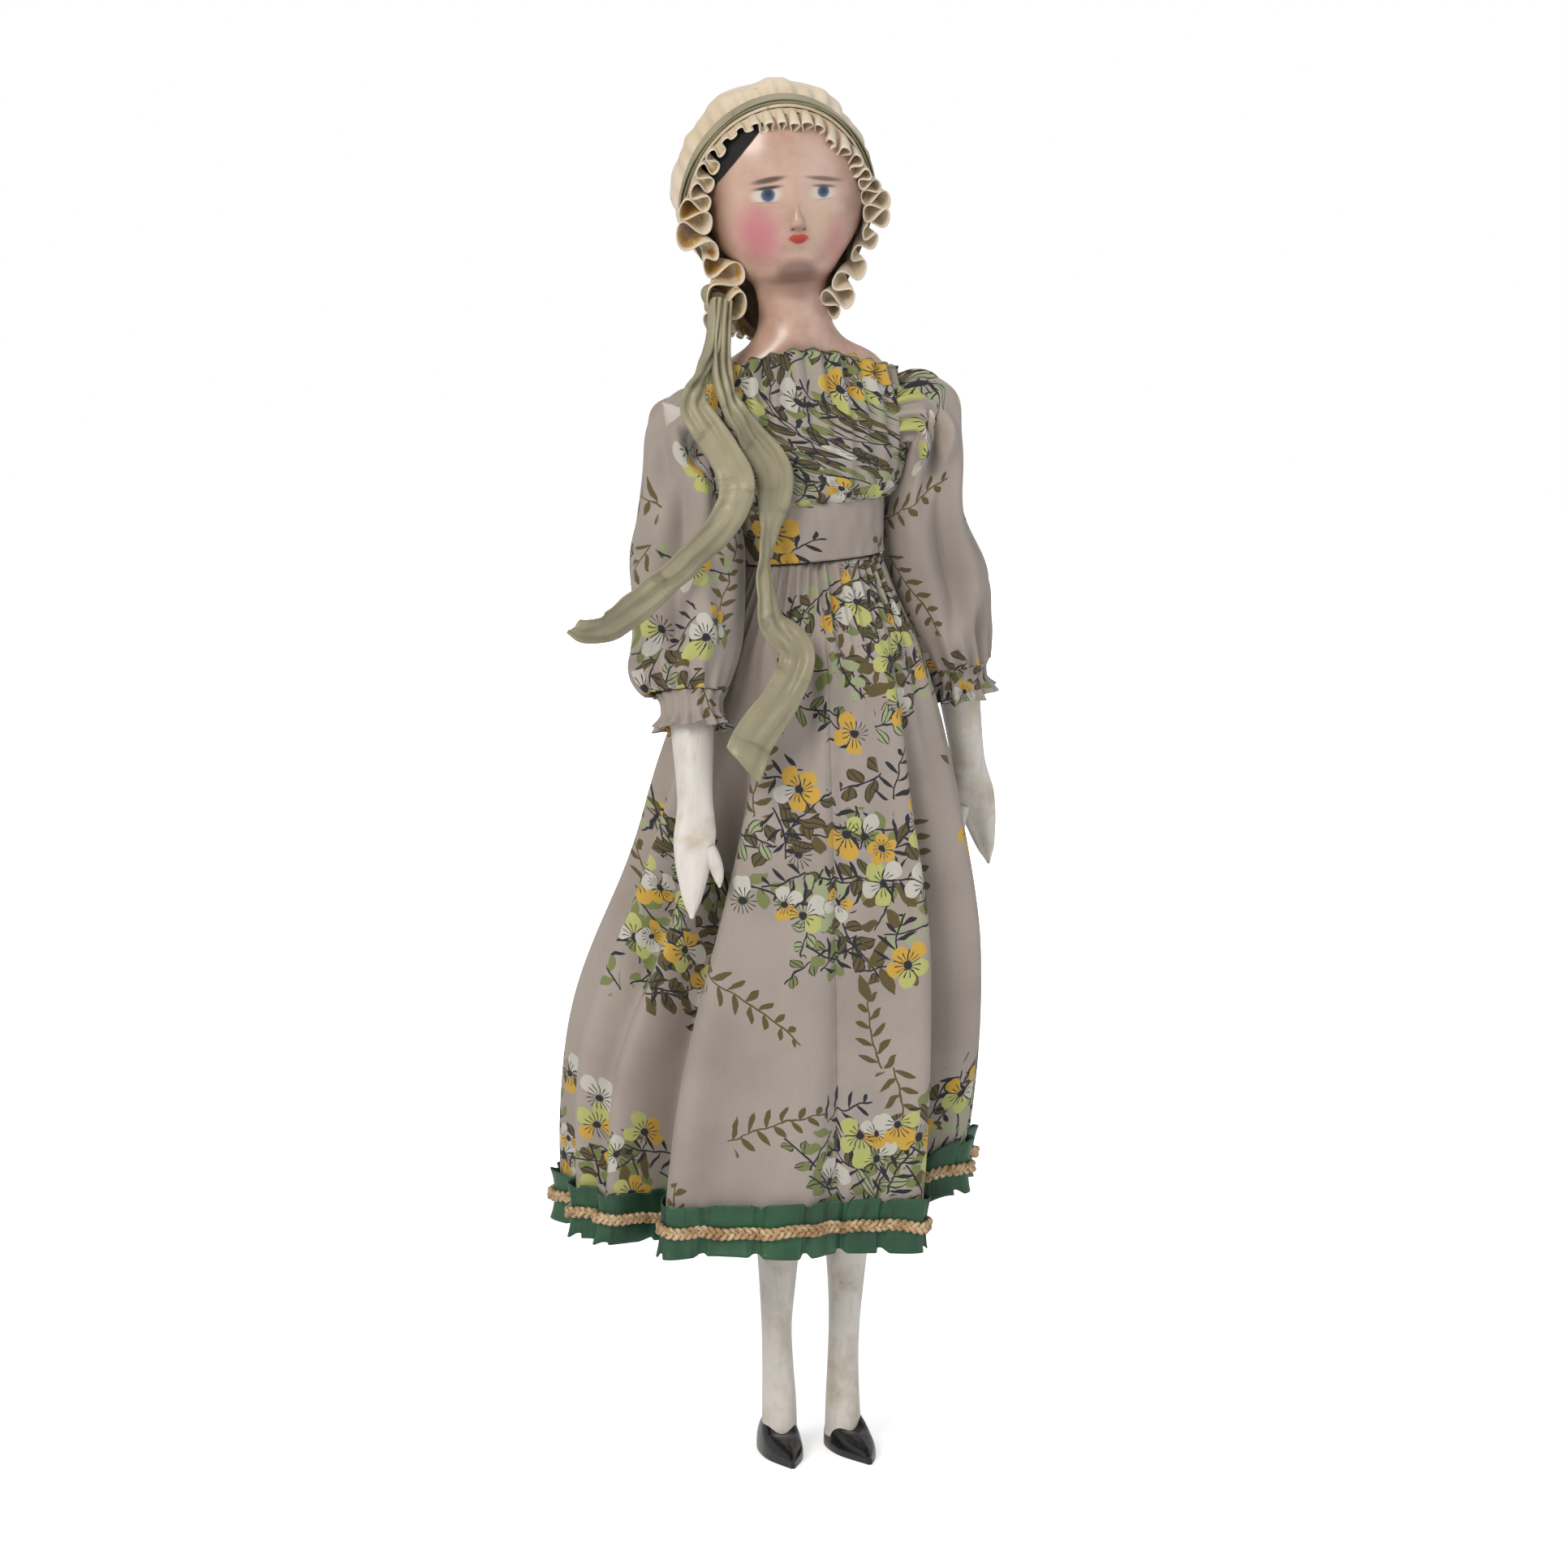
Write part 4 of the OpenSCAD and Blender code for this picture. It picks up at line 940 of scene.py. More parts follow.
@dataclass(frozen=True)
class FleshPaint:
    """Varnished flesh paint of the head and shoulders, with the painted face and hair, rubbed brown in small patches
    and browner towards both sides of the face.
    """

    name: str = "flesh_paint"

    def material(self) -> Material:
        """Builds the finish."""
        made, w, shader = new_material(self.name, Roughness=0.34, Coat_Weight=0.3, Coat_Roughness=0.2)
        place = object_place(w)
        old = w.use(rubbed(), Place=place, Amount=-0.04)
        straight = w.node("ShaderNodeVectorRotate", rotation_type="Y_AXIS")
        w.feed(straight.inputs[0], w.vector("SCALE", place, 1000.0))
        straight.inputs["Angle"].default_value = LEAN
        x, y, z = w.split(straight.outputs[0])
        z = w.plus(z, WAIST)
        x = w.plus(x, w.times(w.ease(z, 314.0, 340.0), 2.5))
        colour = w.mix(w.ease(old["Tone"], 0.4, 0.75), paint("#bd9d8d"), paint("#a88473"))
        colour, hair = self.painted_face(w, colour, x, y, z, old["Tone"])
        w.feed(shader.inputs["Base Color"], w.tint(colour, old["Fleck"], "#7d5c45", 0.6))
        gloss = w.plus(w.times(old["Tone"], 0.3), 0.2)
        w.feed(shader.inputs["Roughness"], w.plus(gloss, w.times(hair, 0.5), clamp=True))
        w.feed(shader.inputs["Coat Weight"], w.times(w.minus(1.0, hair), 0.3))
        raise_surface(w, shader, w.minus(w.times(old["Brush"], 0.3), old["Fleck"]), 0.06)
        return made

    def painted_face(
        self, w: Wiring, colour: object, x: object, y: object, z: object, tone: object
    ) -> tuple[NodeSocket, NodeSocket]:
        """Lays the face and hair over the flesh colour in the order in which they were painted.

        Args:
            w: the finish's wiring.
            colour: the flesh colour.
            x, y, z: place in the upright head's frame, in millimetres.
            tone: slow noise that roughens the hair line.

        Returns:
            The colour and the hair's mask.
        """
        front = w.ease(y, -2.0, -6.0)
        head = w.ease(z, 321.0, 327.0)
        # browner towards both sides of the face, above the chin
        right_edge = w.ease(x, -12.0, -19.5)
        left_edge = w.ease(x, 14.5, 22.5)
        edge = w.times(w.times(w.plus(right_edge, left_edge), head), 0.9)
        colour = w.tint(colour, edge, "#6f4d3a")
        # painted shadow under the chin, at the top of the neck
        painted_chin_shadow = w.times(Spot(1.5, 322.5, 9.0, 3.6, 0, 0.5).mask(w, x, z), 0.7)
        colour = w.tint(colour, painted_chin_shadow, "#86614f")
        colour = w.tint(colour, Spot(2.0, 351.5, 13.0, 8.5, 0, 0.7).mask(w, x, z), "#c6a898", 0.45)
        colour = w.tint(colour, Spot(8.0, 339.5, 4.5, 7.5, 0, 0.7).mask(w, x, z), "#bda48c", 0.6)
        blush_left = Spot(-7.9, 336.9, 4.6, 6.6, 14, 0.75).mask(w, x, z)
        blush_right = Spot(13.0, 333.2, 3.2, 4.8, -12, 0.8).mask(w, x, z)
        colour = w.tint(colour, blush_left, "#b96472", 0.8)
        colour = w.tint(colour, blush_right, "#bb6a72", 0.5)
        colour = w.tint(colour, Spot(0.9, 325.6, 5.2, 3.9, 0, 0.35).mask(w, x, z), "#82645a", 0.9)
        for spot, code, share in self.features():
            colour = w.tint(colour, w.times(spot.mask(w, x, z), front), code, share)
        hair_line = w.plus(w.times(x, -0.985), w.times(w.minus(z, 356.5), 0.9))
        wedge = w.ease(w.plus(hair_line, w.times(tone, 0.6)), 11.6, 12.1)
        behind = w.calc("MAXIMUM", w.ease(y, 5.0, 6.5), w.ease(z, 366.6, 367.4))
        hair = w.times(w.calc("MAXIMUM", wedge, behind), w.ease(z, 325.0, 329.0))
        return w.tint(colour, hair, "#0f0d0b"), hair

    def features(self) -> tuple[tuple[Spot, str, float], ...]:
        """Eyes, brows, a painted shadow under the nose, nostrils and mouth, from the first brush stroke to the last."""
        return (
            (Spot(-5.4, 346.7, 3.6, 1.9, 3, 0.35), "#c9c0b4", 0.95),
            (Spot(9.7, 346.3, 3.4, 1.8, -3, 0.35), "#c4bbae", 0.95),
            (Spot(-4.9, 346.8, 1.75, 1.8, 0, 0.25), "#2f466c", 1.0),
            (Spot(9.9, 346.6, 1.6, 1.6, 0, 0.25), "#2f466c", 1.0),
            (Spot(-4.8, 347.0, 0.85, 0.95, 0, 0.3), "#141d31", 1.0),
            (Spot(10.0, 346.8, 0.75, 0.85, 0, 0.3), "#141d31", 1.0),
            (Spot(-4.9, 348.6, 3.3, 0.5, 4, 0.5), "#3a2c27", 1.0),
            (Spot(10.2, 348.0, 3.0, 0.42, -6, 0.5), "#4d3b33", 0.85),
            (Spot(-5.7, 344.8, 2.7, 0.24, -3, 0.6), "#8a6a5a", 0.55),
            (Spot(9.9, 344.6, 2.4, 0.22, 4, 0.6), "#8a6a5a", 0.45),
            (Spot(-4.6, 350.6, 3.9, 0.75, 7, 0.5), "#453128", 0.9),
            (Spot(10.2, 349.9, 4.6, 0.6, -9, 0.5), "#54402f", 0.85),
            # painted shadow under the nose
            (Spot(2.3, 337.0, 2.6, 1.3, 0, 0.7), "#9a6f5f", 0.6),
            (Spot(0.8, 337.3, 0.5, 0.42, 0, 0.4), "#7a3f33", 0.9),
            (Spot(4.0, 337.2, 0.5, 0.42, 0, 0.4), "#7a3f33", 0.9),
            (Spot(2.2, 334.8, 3.2, 1.2, 0, 0.6), "#b0705f", 0.6),
            (Spot(1.0, 335.1, 1.45, 0.8, 14, 0.3), "#a93622", 1.0),
            (Spot(3.4, 335.1, 1.45, 0.8, -14, 0.3), "#a93622", 1.0),
            (Spot(2.2, 334.3, 1.7, 0.85, 0, 0.3), "#9c2a1a", 1.0),
        )


# ---- wooden figure ------------------------------------------------------------------------------------------


@dataclass
class WoodenBody:
    """Turned head, neck and chest with the carved nose, over the pegged pelvis.

    Attributes:
        rings: half width, half depth and height of each turned ring, from the waist up.
        face_x: how far the carved face sits to the doll's left of the head's middle.
        relief: carving of the face as (x, z, width, height, depth outwards).
        nose_top, nose_tip: heights of the nose's two ends.
    """

    rings: Sequence[tuple[float, float, float]] = (
        (15.6, 9.55, 247.0),
        (15.97, 9.98, 257.1),
        (21.07, 13.05, 269.4),
        (26.95, 14.5, 283.0),
        (27.4, 13.5, 291.5),
        (21.5, 9.9, 301.6),
        (12.8, 9.98, 307.5),
        (9.5, 9.03, 314.1),
        (9.7, 9.5, 322.2),
        (12.5, 12.9, 326.5),
        (18.1, 17.2, 335.8),
        (21.5, 19.5, 349.5),
        (20.4, 18.7, 360.3),
        (15.05, 13.65, 369.6),
        (2.6, 2.3, 374.0),
    )
    face_x: float = 1.5
    relief: Sequence[tuple[float, float, float, float, float]] = (
        (-6.3, 346.0, 3.6, 3.0, -0.75),
        (9.3, 345.4, 3.4, 2.8, -0.7),
        (1.5, 345.0, 1.7, 7.0, 0.7),
        (1.5, 334.8, 2.6, 1.3, 0.55),
        (1.5, 331.6, 3.6, 1.2, -0.3),
        (1.1, 327.2, 4.5, 2.6, 0.9),
        (-9.2, 336.5, 5.0, 5.0, 0.4),
        (12.3, 335.5, 5.0, 5.0, 0.4),
        (1.5, 350.5, 9.0, 2.2, 0.35),
    )
    nose_top: float = 345.8
    nose_tip: float = 336.6
    across: int = 112
    rows: int = 190

    def ring_at(self, t: Array) -> Array:
        """Half width, half depth and height at t, on the smooth curve through the rings."""
        return along(self.rings, t)

    def depth_at(self, x: Array, z: Array) -> Array:
        """Y of the turned surface in front of a point: -depth sqrt(1 - (x / width)^2) of the ring at height z."""
        fine = self.ring_at(np.linspace(0, 1, 1200))
        wide, deep = (np.interp(z, fine[:, 2], fine[:, k]) for k in (0, 1))
        return -deep * np.sqrt(np.clip(1 - (np.asarray(x) / wide) ** 2, 0.01, 1))

    def carve(self) -> Object:
        """Head and chest: ellipses stacked on the smooth curve through the rings.

        The left cheek stands out as 3 bump(z, 342, 11). The face's relief is a sum of bell curves that push the
        front in or out along Y.
        """
        t = np.linspace(0, 1, self.rows)
        a = np.linspace(0, 360, self.across, endpoint=False)
        ring = self.ring_at(t)
        full = 1.5 * bump(ring[:, 2:], 342.0, 11.0)
        x, y = (ring[:, :1] + full) * cos_deg(a) + full, ring[:, 1:2] * sin_deg(a)
        z = np.broadcast_to(ring[:, 2:], x.shape)
        front = ease(y, 0.0, -5.0)
        push = sum(d * bump(x, cx, wide) * bump(z, cz, high) for cx, cz, wide, high, d in self.relief)
        points = np.stack([x, y - push * front, z], axis=-1)
        return build_grid("head_and_chest", place(leaned(nodded(points))), loops=(False, True), caps=True)

    def carve_nose(self) -> Object:
        """Nose: rings across its ridge, half sunk in the face, widening to a round tip and turning under."""
        s = np.linspace(0, 1, 22)
        z = self.nose_top + (self.nose_tip - self.nose_top) * s
        half = along((0.35, 0.75, 0.95, 1.25, 1.85, 1.95, 1.1), s)
        proud = along((0.1, 0.7, 1.05, 1.5, 2.35, 2.1, 0.4), s)
        base = self.depth_at(np.full_like(z, self.face_x), z) + 0.5
        a = np.linspace(0, 360, 28, endpoint=False)
        x = self.face_x + half[:, None] * cos_deg(a)
        y = base[:, None] + (proud[:, None] + 0.5) * np.where(sin_deg(a) < 0, sin_deg(a), 0.35 * sin_deg(a))
        points = np.stack([x, y, np.broadcast_to(z[:, None], x.shape)], axis=-1)
        return build_grid("carved_nose", place(leaned(nodded(points))), loops=(False, True), caps=True)

    def make(self) -> list[Object]:
        """Builds and dresses the body's pieces."""
        flesh = FleshPaint().material()
        head, nose = self.carve(), self.carve_nose()
        pelvis = cut_from_cad("torso", "wooden_pelvis", (0, 0, 0.006), (0, 0, 1))
        for piece, nodes in ((head, ("torso",)), (nose, ("nose",)), (pelvis, ("torso",))):
            piece.data.materials.append(flesh)
            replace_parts(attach(piece, "figure"), *nodes)
        return [head, nose, pelvis]


@dataclass
class Leg:
    """One leg: the pegged thigh stays as the frame has it; the shin gets a shaped calf and a carved slipper.

    Attributes:
        side: which leg.
        toe_out: how far the toe's tip points to the doll's left.
        calf: half width, and how far the middle stands to the doll's left, from the ankle to above the hem.
        x: the leg's distance from the body's middle.
        heel, toe: y of the slipper's two ends.
    """

    side: Side
    toe_out: float
    calf: Sequence[tuple[float, float]]
    x: float = 9.5
    heel: float = 7.5
    toe: float = -17.5

    def shape_calf(self) -> Object:
        """Calf: round rings whose half width and middle follow smooth curves from height 4 to 78."""
        t = np.linspace(0, 1, 60)
        a = np.linspace(0, 360, 48, endpoint=False)
        half, middle = along(self.calf, t).T
        z = 4.0 + 74.0 * t
        x = self.side.value * self.x + middle[:, None] + half[:, None] * cos_deg(a)
        y = (half[:, None] * 1.05) * sin_deg(a)
        points = np.stack([x, y, np.broadcast_to(z[:, None], x.shape)], axis=-1)
        return build_grid(f"{self.side.word}_calf", place(points), loops=(False, True), caps=True)

    def shape_slipper(self) -> Object:
        """Slipper: D-shaped sections from heel to toe, level below, with a dipped throat in front of the ankle.

        A section at y has half width w(y) and top h(y); its outline is w |cos a|^0.72 across and, above the sole,
        h |sin a|^0.85 up. The throat is a bell curve 2.6 deep at the ankle's front.
        """
        s = np.linspace(0, 1, 60)
        y = self.heel + (self.toe - self.heel) * s
        wide = along((2.4, 5.1, 5.7, 5.8, 5.75, 5.5, 4.8, 3.6, 2.1, 0.6), s)
        high = along((7.4, 10.1, 10.9, 10.7, 9.6, 7.6, 5.9, 4.7, 3.4, 1.6), s)
        a = np.linspace(0, 360, 56, endpoint=False)
        c, k = cos_deg(a), sin_deg(a)
        across = np.sign(c) * np.abs(c) ** 0.72
        up = np.where(k > 0, np.abs(k) ** 0.85, 0.0)
        bend = self.toe_out * ease(s, 0.15, 1.15)[:, None]
        x = wide[:, None] * across
        z = np.where(k > 0, 0.9 + (high[:, None] - 0.9) * up, 0.9 * (1 - np.minimum(1, np.abs(k) * 4)))
        throat = 2.6 * bump(x, 0.0, 3.4) * bump(y[:, None], -4.6, 2.6) * (k > 0)
        ridge = 0.4 * bump(x, 0.0, 1.2) * ease(s, 0.55, 0.85)[:, None] * (k > 0)
        x = self.side.value * self.x + x + bend
        points = np.stack([x, np.broadcast_to(y[:, None], x.shape), z + ridge - throat], axis=-1)
        return build_grid(f"{self.side.word}_slipper", place(points), loops=(False, True), caps=True)

    def make(self, white: Material, black: Material) -> list[Object]:
        """Builds and dresses the knee end, the calf and the slipper."""
        word = self.side.word
        knee = cut_from_cad(f"{word}_shin", f"{word}_knee_end", (0, 0, (74.0 - WAIST) * MM), (0, 0, -1))
        calf, slipper = self.shape_calf(), self.shape_slipper()
        for piece, finish in ((knee, white), (calf, white), (slipper, black)):
            piece.data.materials.append(finish)
            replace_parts(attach(piece, f"{word}_shin"), f"{word}_shin")
        return [knee, calf, slipper]


LEFT_CALF = ((5.1, -0.6), (4.7, -0.8), (4.3, -0.7), (4.3, -0.4), (4.9, 0.0), (5.8, 0.2), (6.6, 0.1), (6.9, 0.0))
RIGHT_CALF = ((4.9, 0.4), (4.7, 0.3), (4.3, -0.1), (4.2, -0.4), (4.9, -0.2), (5.8, 0.0), (6.6, 0.0), (6.9, 0.0))


@dataclass
class Arm:
    """One arm, in the frame of its shoulder joint: Z up the arm, X across the body, the joint's centre at zero.

    Attributes:
        side: which arm.
        swing: degrees that it hangs forward, or back where negative.
        upper, fore: lengths of the upper arm and forearm.
    """

    side: Side
    swing: float
    shoulder_x: float = 32.85
    shoulder_z: float = 286.0
    splay: float = 5.0
    upper: float = 62.0
    fore: float = 47.0

    def placed(self, points: Array) -> Array:
        """Takes points from the arm's frame to the row frame: swing about X, splay about Y, then the body's lean."""
        p = np.asarray(points, float)
        s, c = math.sin(math.radians(-self.swing)), math.cos(math.radians(-self.swing))
        x, y, z = p[..., 0], p[..., 1] * c - p[..., 2] * s, p[..., 1] * s + p[..., 2] * c
        for turn, move in ((-self.side.value * math.radians(self.splay), None), (-LEAN, True)):
            if move:
                x, z = x + self.side.value * self.shoulder_x, z + self.shoulder_z - WAIST
            s, c = math.sin(turn), math.cos(turn)
            x, z = x * c + z * s, -x * s + z * c
        return np.stack([x, y, z], axis=-1) * MM

    def shape_hand(self) -> Object:
        """Forearm and spade hand in one carving, with a short thumb on the inner side.

        A ring at depth t has half width w(t) and half thickness h(t), with its middle moved outwards by m(t), and
        the thumb is a small tube that leaves the palm's inner edge.
        """
        t = np.linspace(0, 1, 96)
        top, tip = -self.upper - 12.0, -self.upper - self.fore - 22.0
        wide = along((6.2, 5.9, 5.6, 5.3, 5.0, 4.8, 4.75, 5.2, 5.65, 5.2, 4.5, 3.5, 2.3, 0.5), t)
        thick = along((6.0, 5.7, 5.4, 5.1, 4.8, 4.4, 3.7, 3.0, 2.6, 2.4, 2.2, 1.9, 1.4, 0.4), t)
        middle = along((0.0, 0.0, 0.0, 0.0, 0.0, 0.0, 0.0, 0.1, 0.4, 0.9, 1.2, 1.5, 1.8, 2.0), t)
        z = top + (tip - top) * t
        a = np.linspace(0, 360, 48, endpoint=False)
        out = self.side.value
        x = out * middle[:, None] + wide[:, None] * cos_deg(a)
        palm_side = 1 - 0.2 * np.cos(np.radians(3 * a)) * ease(t, 0.6, 0.75)[:, None]
        y = thick[:, None] * sin_deg(a) * palm_side
        points = np.stack([x, y, np.broadcast_to(z[:, None], x.shape)], axis=-1)
        palm = build_grid(f"{self.side.word}_hand", self.placed(points), loops=(False, True), caps=True)
        s = np.linspace(0, 1, 24)
        aside = -out * (2.9 + 2.7 * s + 0.7 * np.sin(np.pi * s))
        path = np.stack([aside, -0.6 * s, -self.upper - self.fore - 3.5 - 10.5 * s], axis=1)
        radii = np.stack([along((2.2, 2.2, 2.0, 1.7, 1.2, 0.3), s), along((2.2, 2.0, 1.8, 1.6, 1.1, 0.3), s)], axis=1)
        thumb = build_grid("thumb", self.placed(tube(path, radii, 20)), loops=(False, True), caps=True)
        return join(f"{self.side.word}_hand", [palm, thumb])

    def make(self, white: Material) -> list[Object]:
        """Builds and dresses the elbow end of the forearm, and the rest of it with the hand."""
        word = self.side.word
        edge = self.placed(np.array([0.0, 0.0, -self.upper - 15.0]))
        down = self.placed(np.array([0.0, 0.0, -self.upper - 16.0])) - edge
        elbow_end = cut_from_cad(f"{word}_forearm", f"{word}_elbow_end", edge, down)
        hand = self.shape_hand()
        for piece in (elbow_end, hand):
            piece.data.materials.append(white)
            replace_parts(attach(piece, f"{word}_forearm"), f"{word}_forearm")
        return [elbow_end, hand]


# ---- clothes ------------------------------------------------------------------------------------------------


def hip_weights(points: Array, side: Side) -> Array:
    """Share of the thigh's motion that a point of the skirt follows.

    The product of three eased steps: none at the waist to all below the hips, none at the middle seam to all under
    the thigh, and all in front to none at the back.
    """
    x, y, z = points[:, 0] / MM * side.value, points[:, 1] / MM, points[:, 2] / MM + WAIST
    return ease(z, 198.0, 152.0) * ease(x, -0.2, 5.0) * ease(y, 26.0, -6.0)


def follow(obj: Object, weights: Callable[[Array], Array]) -> None:
    """Bakes a piece's placement and works out weights from each point's place; the weights are not used."""
    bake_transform(obj)
    co = np.zeros(len(obj.data.vertices) * 3)
    obj.data.vertices.foreach_get("co", co)
    values = weights(co.reshape(-1, 3)).astype(np.float32)


@dataclass
class Skirt:
    """High-waisted skirt in two gored halves with a green satin ribbon and a gold braid round the hem.

    Attributes:
        top, length: height of its top edge and its fall, before the folds.
        ribbon: depth of the hem ribbon.
        waist, hem: (half width, half depth) of the top ring and what is added to it at the hem.
        shift: how far the hem swings to the doll's right.
        fold: depth of the hanging folds.
        creases: (angle, width, depth outwards, drift of the angle down the fall, shares between which it grows).
        gathers: gathers round the waist.
        cloth: thickness of the lawn as it is drawn.
        spread: how much of the hem's growth the rings have reached, at even steps down the fall.
        across, rows: points round each half and down it.
    """

    top: float = 248.65
    length: float = 180.5
    ribbon: float = 12.5
    waist: tuple[float, float] = (18.5, 12.7)
    hem: tuple[float, float] = (33.5, 29.3)
    shift: float = 13.0
    fold: float = 5.0
    gathers: int = 46
    cloth: float = 0.45
    spread: Sequence[float] = (0, 0.34, 0.56, 0.73, 0.86, 0.95, 0.99, 1)
    creases: Sequence[tuple[float, float, float, float, tuple[float, float]]] = (
        (316.0, 5.5, -9.5, 10.0, (0.1, 0.5)),
        (303.0, 8.0, 2.6, 8.0, (0.2, 0.6)),
        (330.0, 7.0, 2.0, 4.0, (0.2, 0.6)),
        (229.0, 5.5, -9.0, -14.0, (0.08, 0.4)),
        (241.0, 7.0, 3.2, -14.0, (0.15, 0.5)),
        (219.0, 4.5, 4.8, -10.0, (0.2, 0.5)),
        (209.5, 4.0, -4.8, -8.0, (0.2, 0.5)),
        (199.0, 6.0, 2.5, -4.0, (0.3, 0.6)),
        (279.0, 4.0, -1.5, 8.0, (0.05, 0.5)),
        (258.0, 4.0, -2.2, -16.0, (0.5, 0.12)),
        (268.0, 3.5, -1.6, 18.0, (0.3, 0.02)),
        (292.0, 3.0, -1.4, 26.0, (0.34, 0.04)),
        (250.0, 3.0, -1.4, -22.0, (0.34, 0.04)),
    )
    across: int = 300
    rows: int = 150

    def folds(self, a: Array, t: Array) -> Array:
        """How far the cloth stands out at angle a and share t of the fall.

        Hanging folds: fold (0.25 + 0.75 t) min(4 t, 1) (0.75 sin 11 a + 0.35 sin(7 a + 60)), nearly flat over the
        front panel and pressed in by both hands with a bell curve each; a fullness low on both sides; deep creases
        and ridges, each a bell curve in a; then fine gathers that fade below the waist, and small ripples.
        """
        panel = 1 - 0.75 * ease(a, 240, 252) * ease(a, 306, 294) * ease(t, 0.0, 0.3)
        waves = 0.75 * sin_deg(11 * a) + 0.35 * sin_deg(7 * a + 60)
        hang = self.fold * (0.25 + 0.75 * t) * np.minimum(4 * t, 1) * waves * panel
        right = -4.69 * bump(a, 222, 16) * bump(t, 0.45, 0.24)
        left = -4.02 * bump(a, 25, 20) * bump(t, 0.38, 0.26)
        full = 6.8 * ease(-cos_deg(a), 0.1, 0.85) * bump(t, 0.72, 0.2)
        full = full + 2.6 * ease(cos_deg(a), 0.3, 0.9) * bump(t, 0.62, 0.25)
        deep = sum(
            d * bump(a, at + drift * (t - 0.6), wide) * ease(t, *reach) for at, wide, d, drift, reach in self.creases
        )
        wander = 8 * sin_deg(3 * a + 40) + 5 * sin_deg(7 * a)
        gather = 0.6 * sin_deg(self.gathers * a + wander * 6) * ease(t, 0.22, 0.02) * ease(t, -0.02, 0.03)
        soft = 0.6 * sin_deg(23 * a + 50 * sin_deg(2 * a) + 60 * t) * ease(t, 0.05, 0.2) * ease(t, 0.95, 0.5) * panel
        small = 0.6 * ripple(a / 30, t * 3.5, 11) * ease(t, 0.1, 0.4) * ease(t, 1.0, 0.85)
        return hang + right + left + full + deep + gather + soft + small

    def ring(self, a: Array, t: Array) -> tuple[Array, Array, Array]:
        """Half width, half depth and swing to the side at angle a and share t."""
        k = along(self.spread, t)
        f = self.folds(a % 360, t)
        swing = -self.shift * t**2 * (1.6 - 0.6 * t)
        return self.waist[0] + self.hem[0] * k + f, self.waist[1] + self.hem[1] * k + f, swing

    def seam_angle(self, t: Array, back: bool) -> Array:
        """Angle at which the front or back of the ring crosses the body's middle: half width cos a = -swing."""
        a = np.full(np.shape(t), 90.0 if back else 270.0)
        for _ in range(30):
            wide, _, swing = self.ring(a, t)
            bend = np.degrees(np.arccos(np.clip(-swing / wide, -1, 1)))
            a = 0.5 * a + 0.5 * (bend if back else 360 - bend)
        return a

    def angles(self, side: Side, t: Array, s: Array) -> Array:
        """Angles of one half, from the front seam at s = 0 to the back seam at s = 1, by rows t."""
        front, back = self.seam_angle(t, False), self.seam_angle(t, True)
        if side is Side.LEFT:
            front = front - 360
        return front[:, None] + (back - front)[:, None] * s[None, :]

    def surface(self, a: Array, t: Array, out: float = 0.0, lift: Array = 0.0) -> Array:
        """Points of the cloth, in millimetres: the ring at (a, t), moved out and lifted by millimetres."""
        wide, deep, swing = self.ring(a, t)
        x = (wide + out) * cos_deg(a) + swing
        y = (deep + out) * sin_deg(a)
        tip = self.waist[0] * cos_deg(a) * np.maximum(0, 1 - 4 * t) * math.sin(LEAN)
        z = self.top - self.length * t + tip + lift
        return np.stack([x, y, z], axis=-1)

    def lay(self, side: Side, points: Array) -> Array:
        """Cloth coordinates of a half: length along each row from the front seam, and length down each column."""
        return np.stack([run_length(points, 1) * side.value, -run_length(points, 0)], axis=-1) * MM

    def hem_line(self, a: Array) -> Array:
        """Lift of the hem: it dips in front, rises a little to the right and much more at the left back."""
        turn = np.mod(a + 180, 360) - 180
        hitched = 11.0 * ease(turn, -43, -32) * (1 - 0.65 * ease(turn, -25, 35)) * ease(turn, 130, 70)
        return hitched + 0.7 * sin_deg(3 * a + 20) - 0.6 * bump(turn + 360, 265, 40) + 2.2 * bump(turn + 360, 200, 30)

    def half(self, side: Side, finish: Material) -> Object:
        """One half of the skirt, sewn to the other at the middle of the front and back."""
        t = np.linspace(0, 1, self.rows) ** 1.05
        s = np.linspace(0, 1, self.across)
        a = self.angles(side, t, s)
        points = self.surface(a, t[:, None], 0.0, self.hem_line(a) * t[:, None] ** 2)
        points = self.pucker(points, s, t)
        obj = build_grid(f"{side.word}_skirt_half", place(points), self.lay(side, points))
        finish_sheet(obj, finish, self.cloth)
        self.attach(obj, side, "skirt")
        return obj

    def pucker(self, points: Array, s: Array, t: Array) -> Array:
        """Presses the cloth in along both seams: a bell curve 0.45 deep with small puckers down it."""
        near = bump(s, 0, 0.008)[None, :] + bump(s, 1, 0.008)[None, :]
        depth = 0.45 * near * (1 + 0.5 * sin_deg(360 * 26 * t))[:, None] * ease(t, 1.0, 0.9)[:, None]
        points = points.copy()
        points[..., 1] -= np.sign(points[..., 1]) * depth
        return points

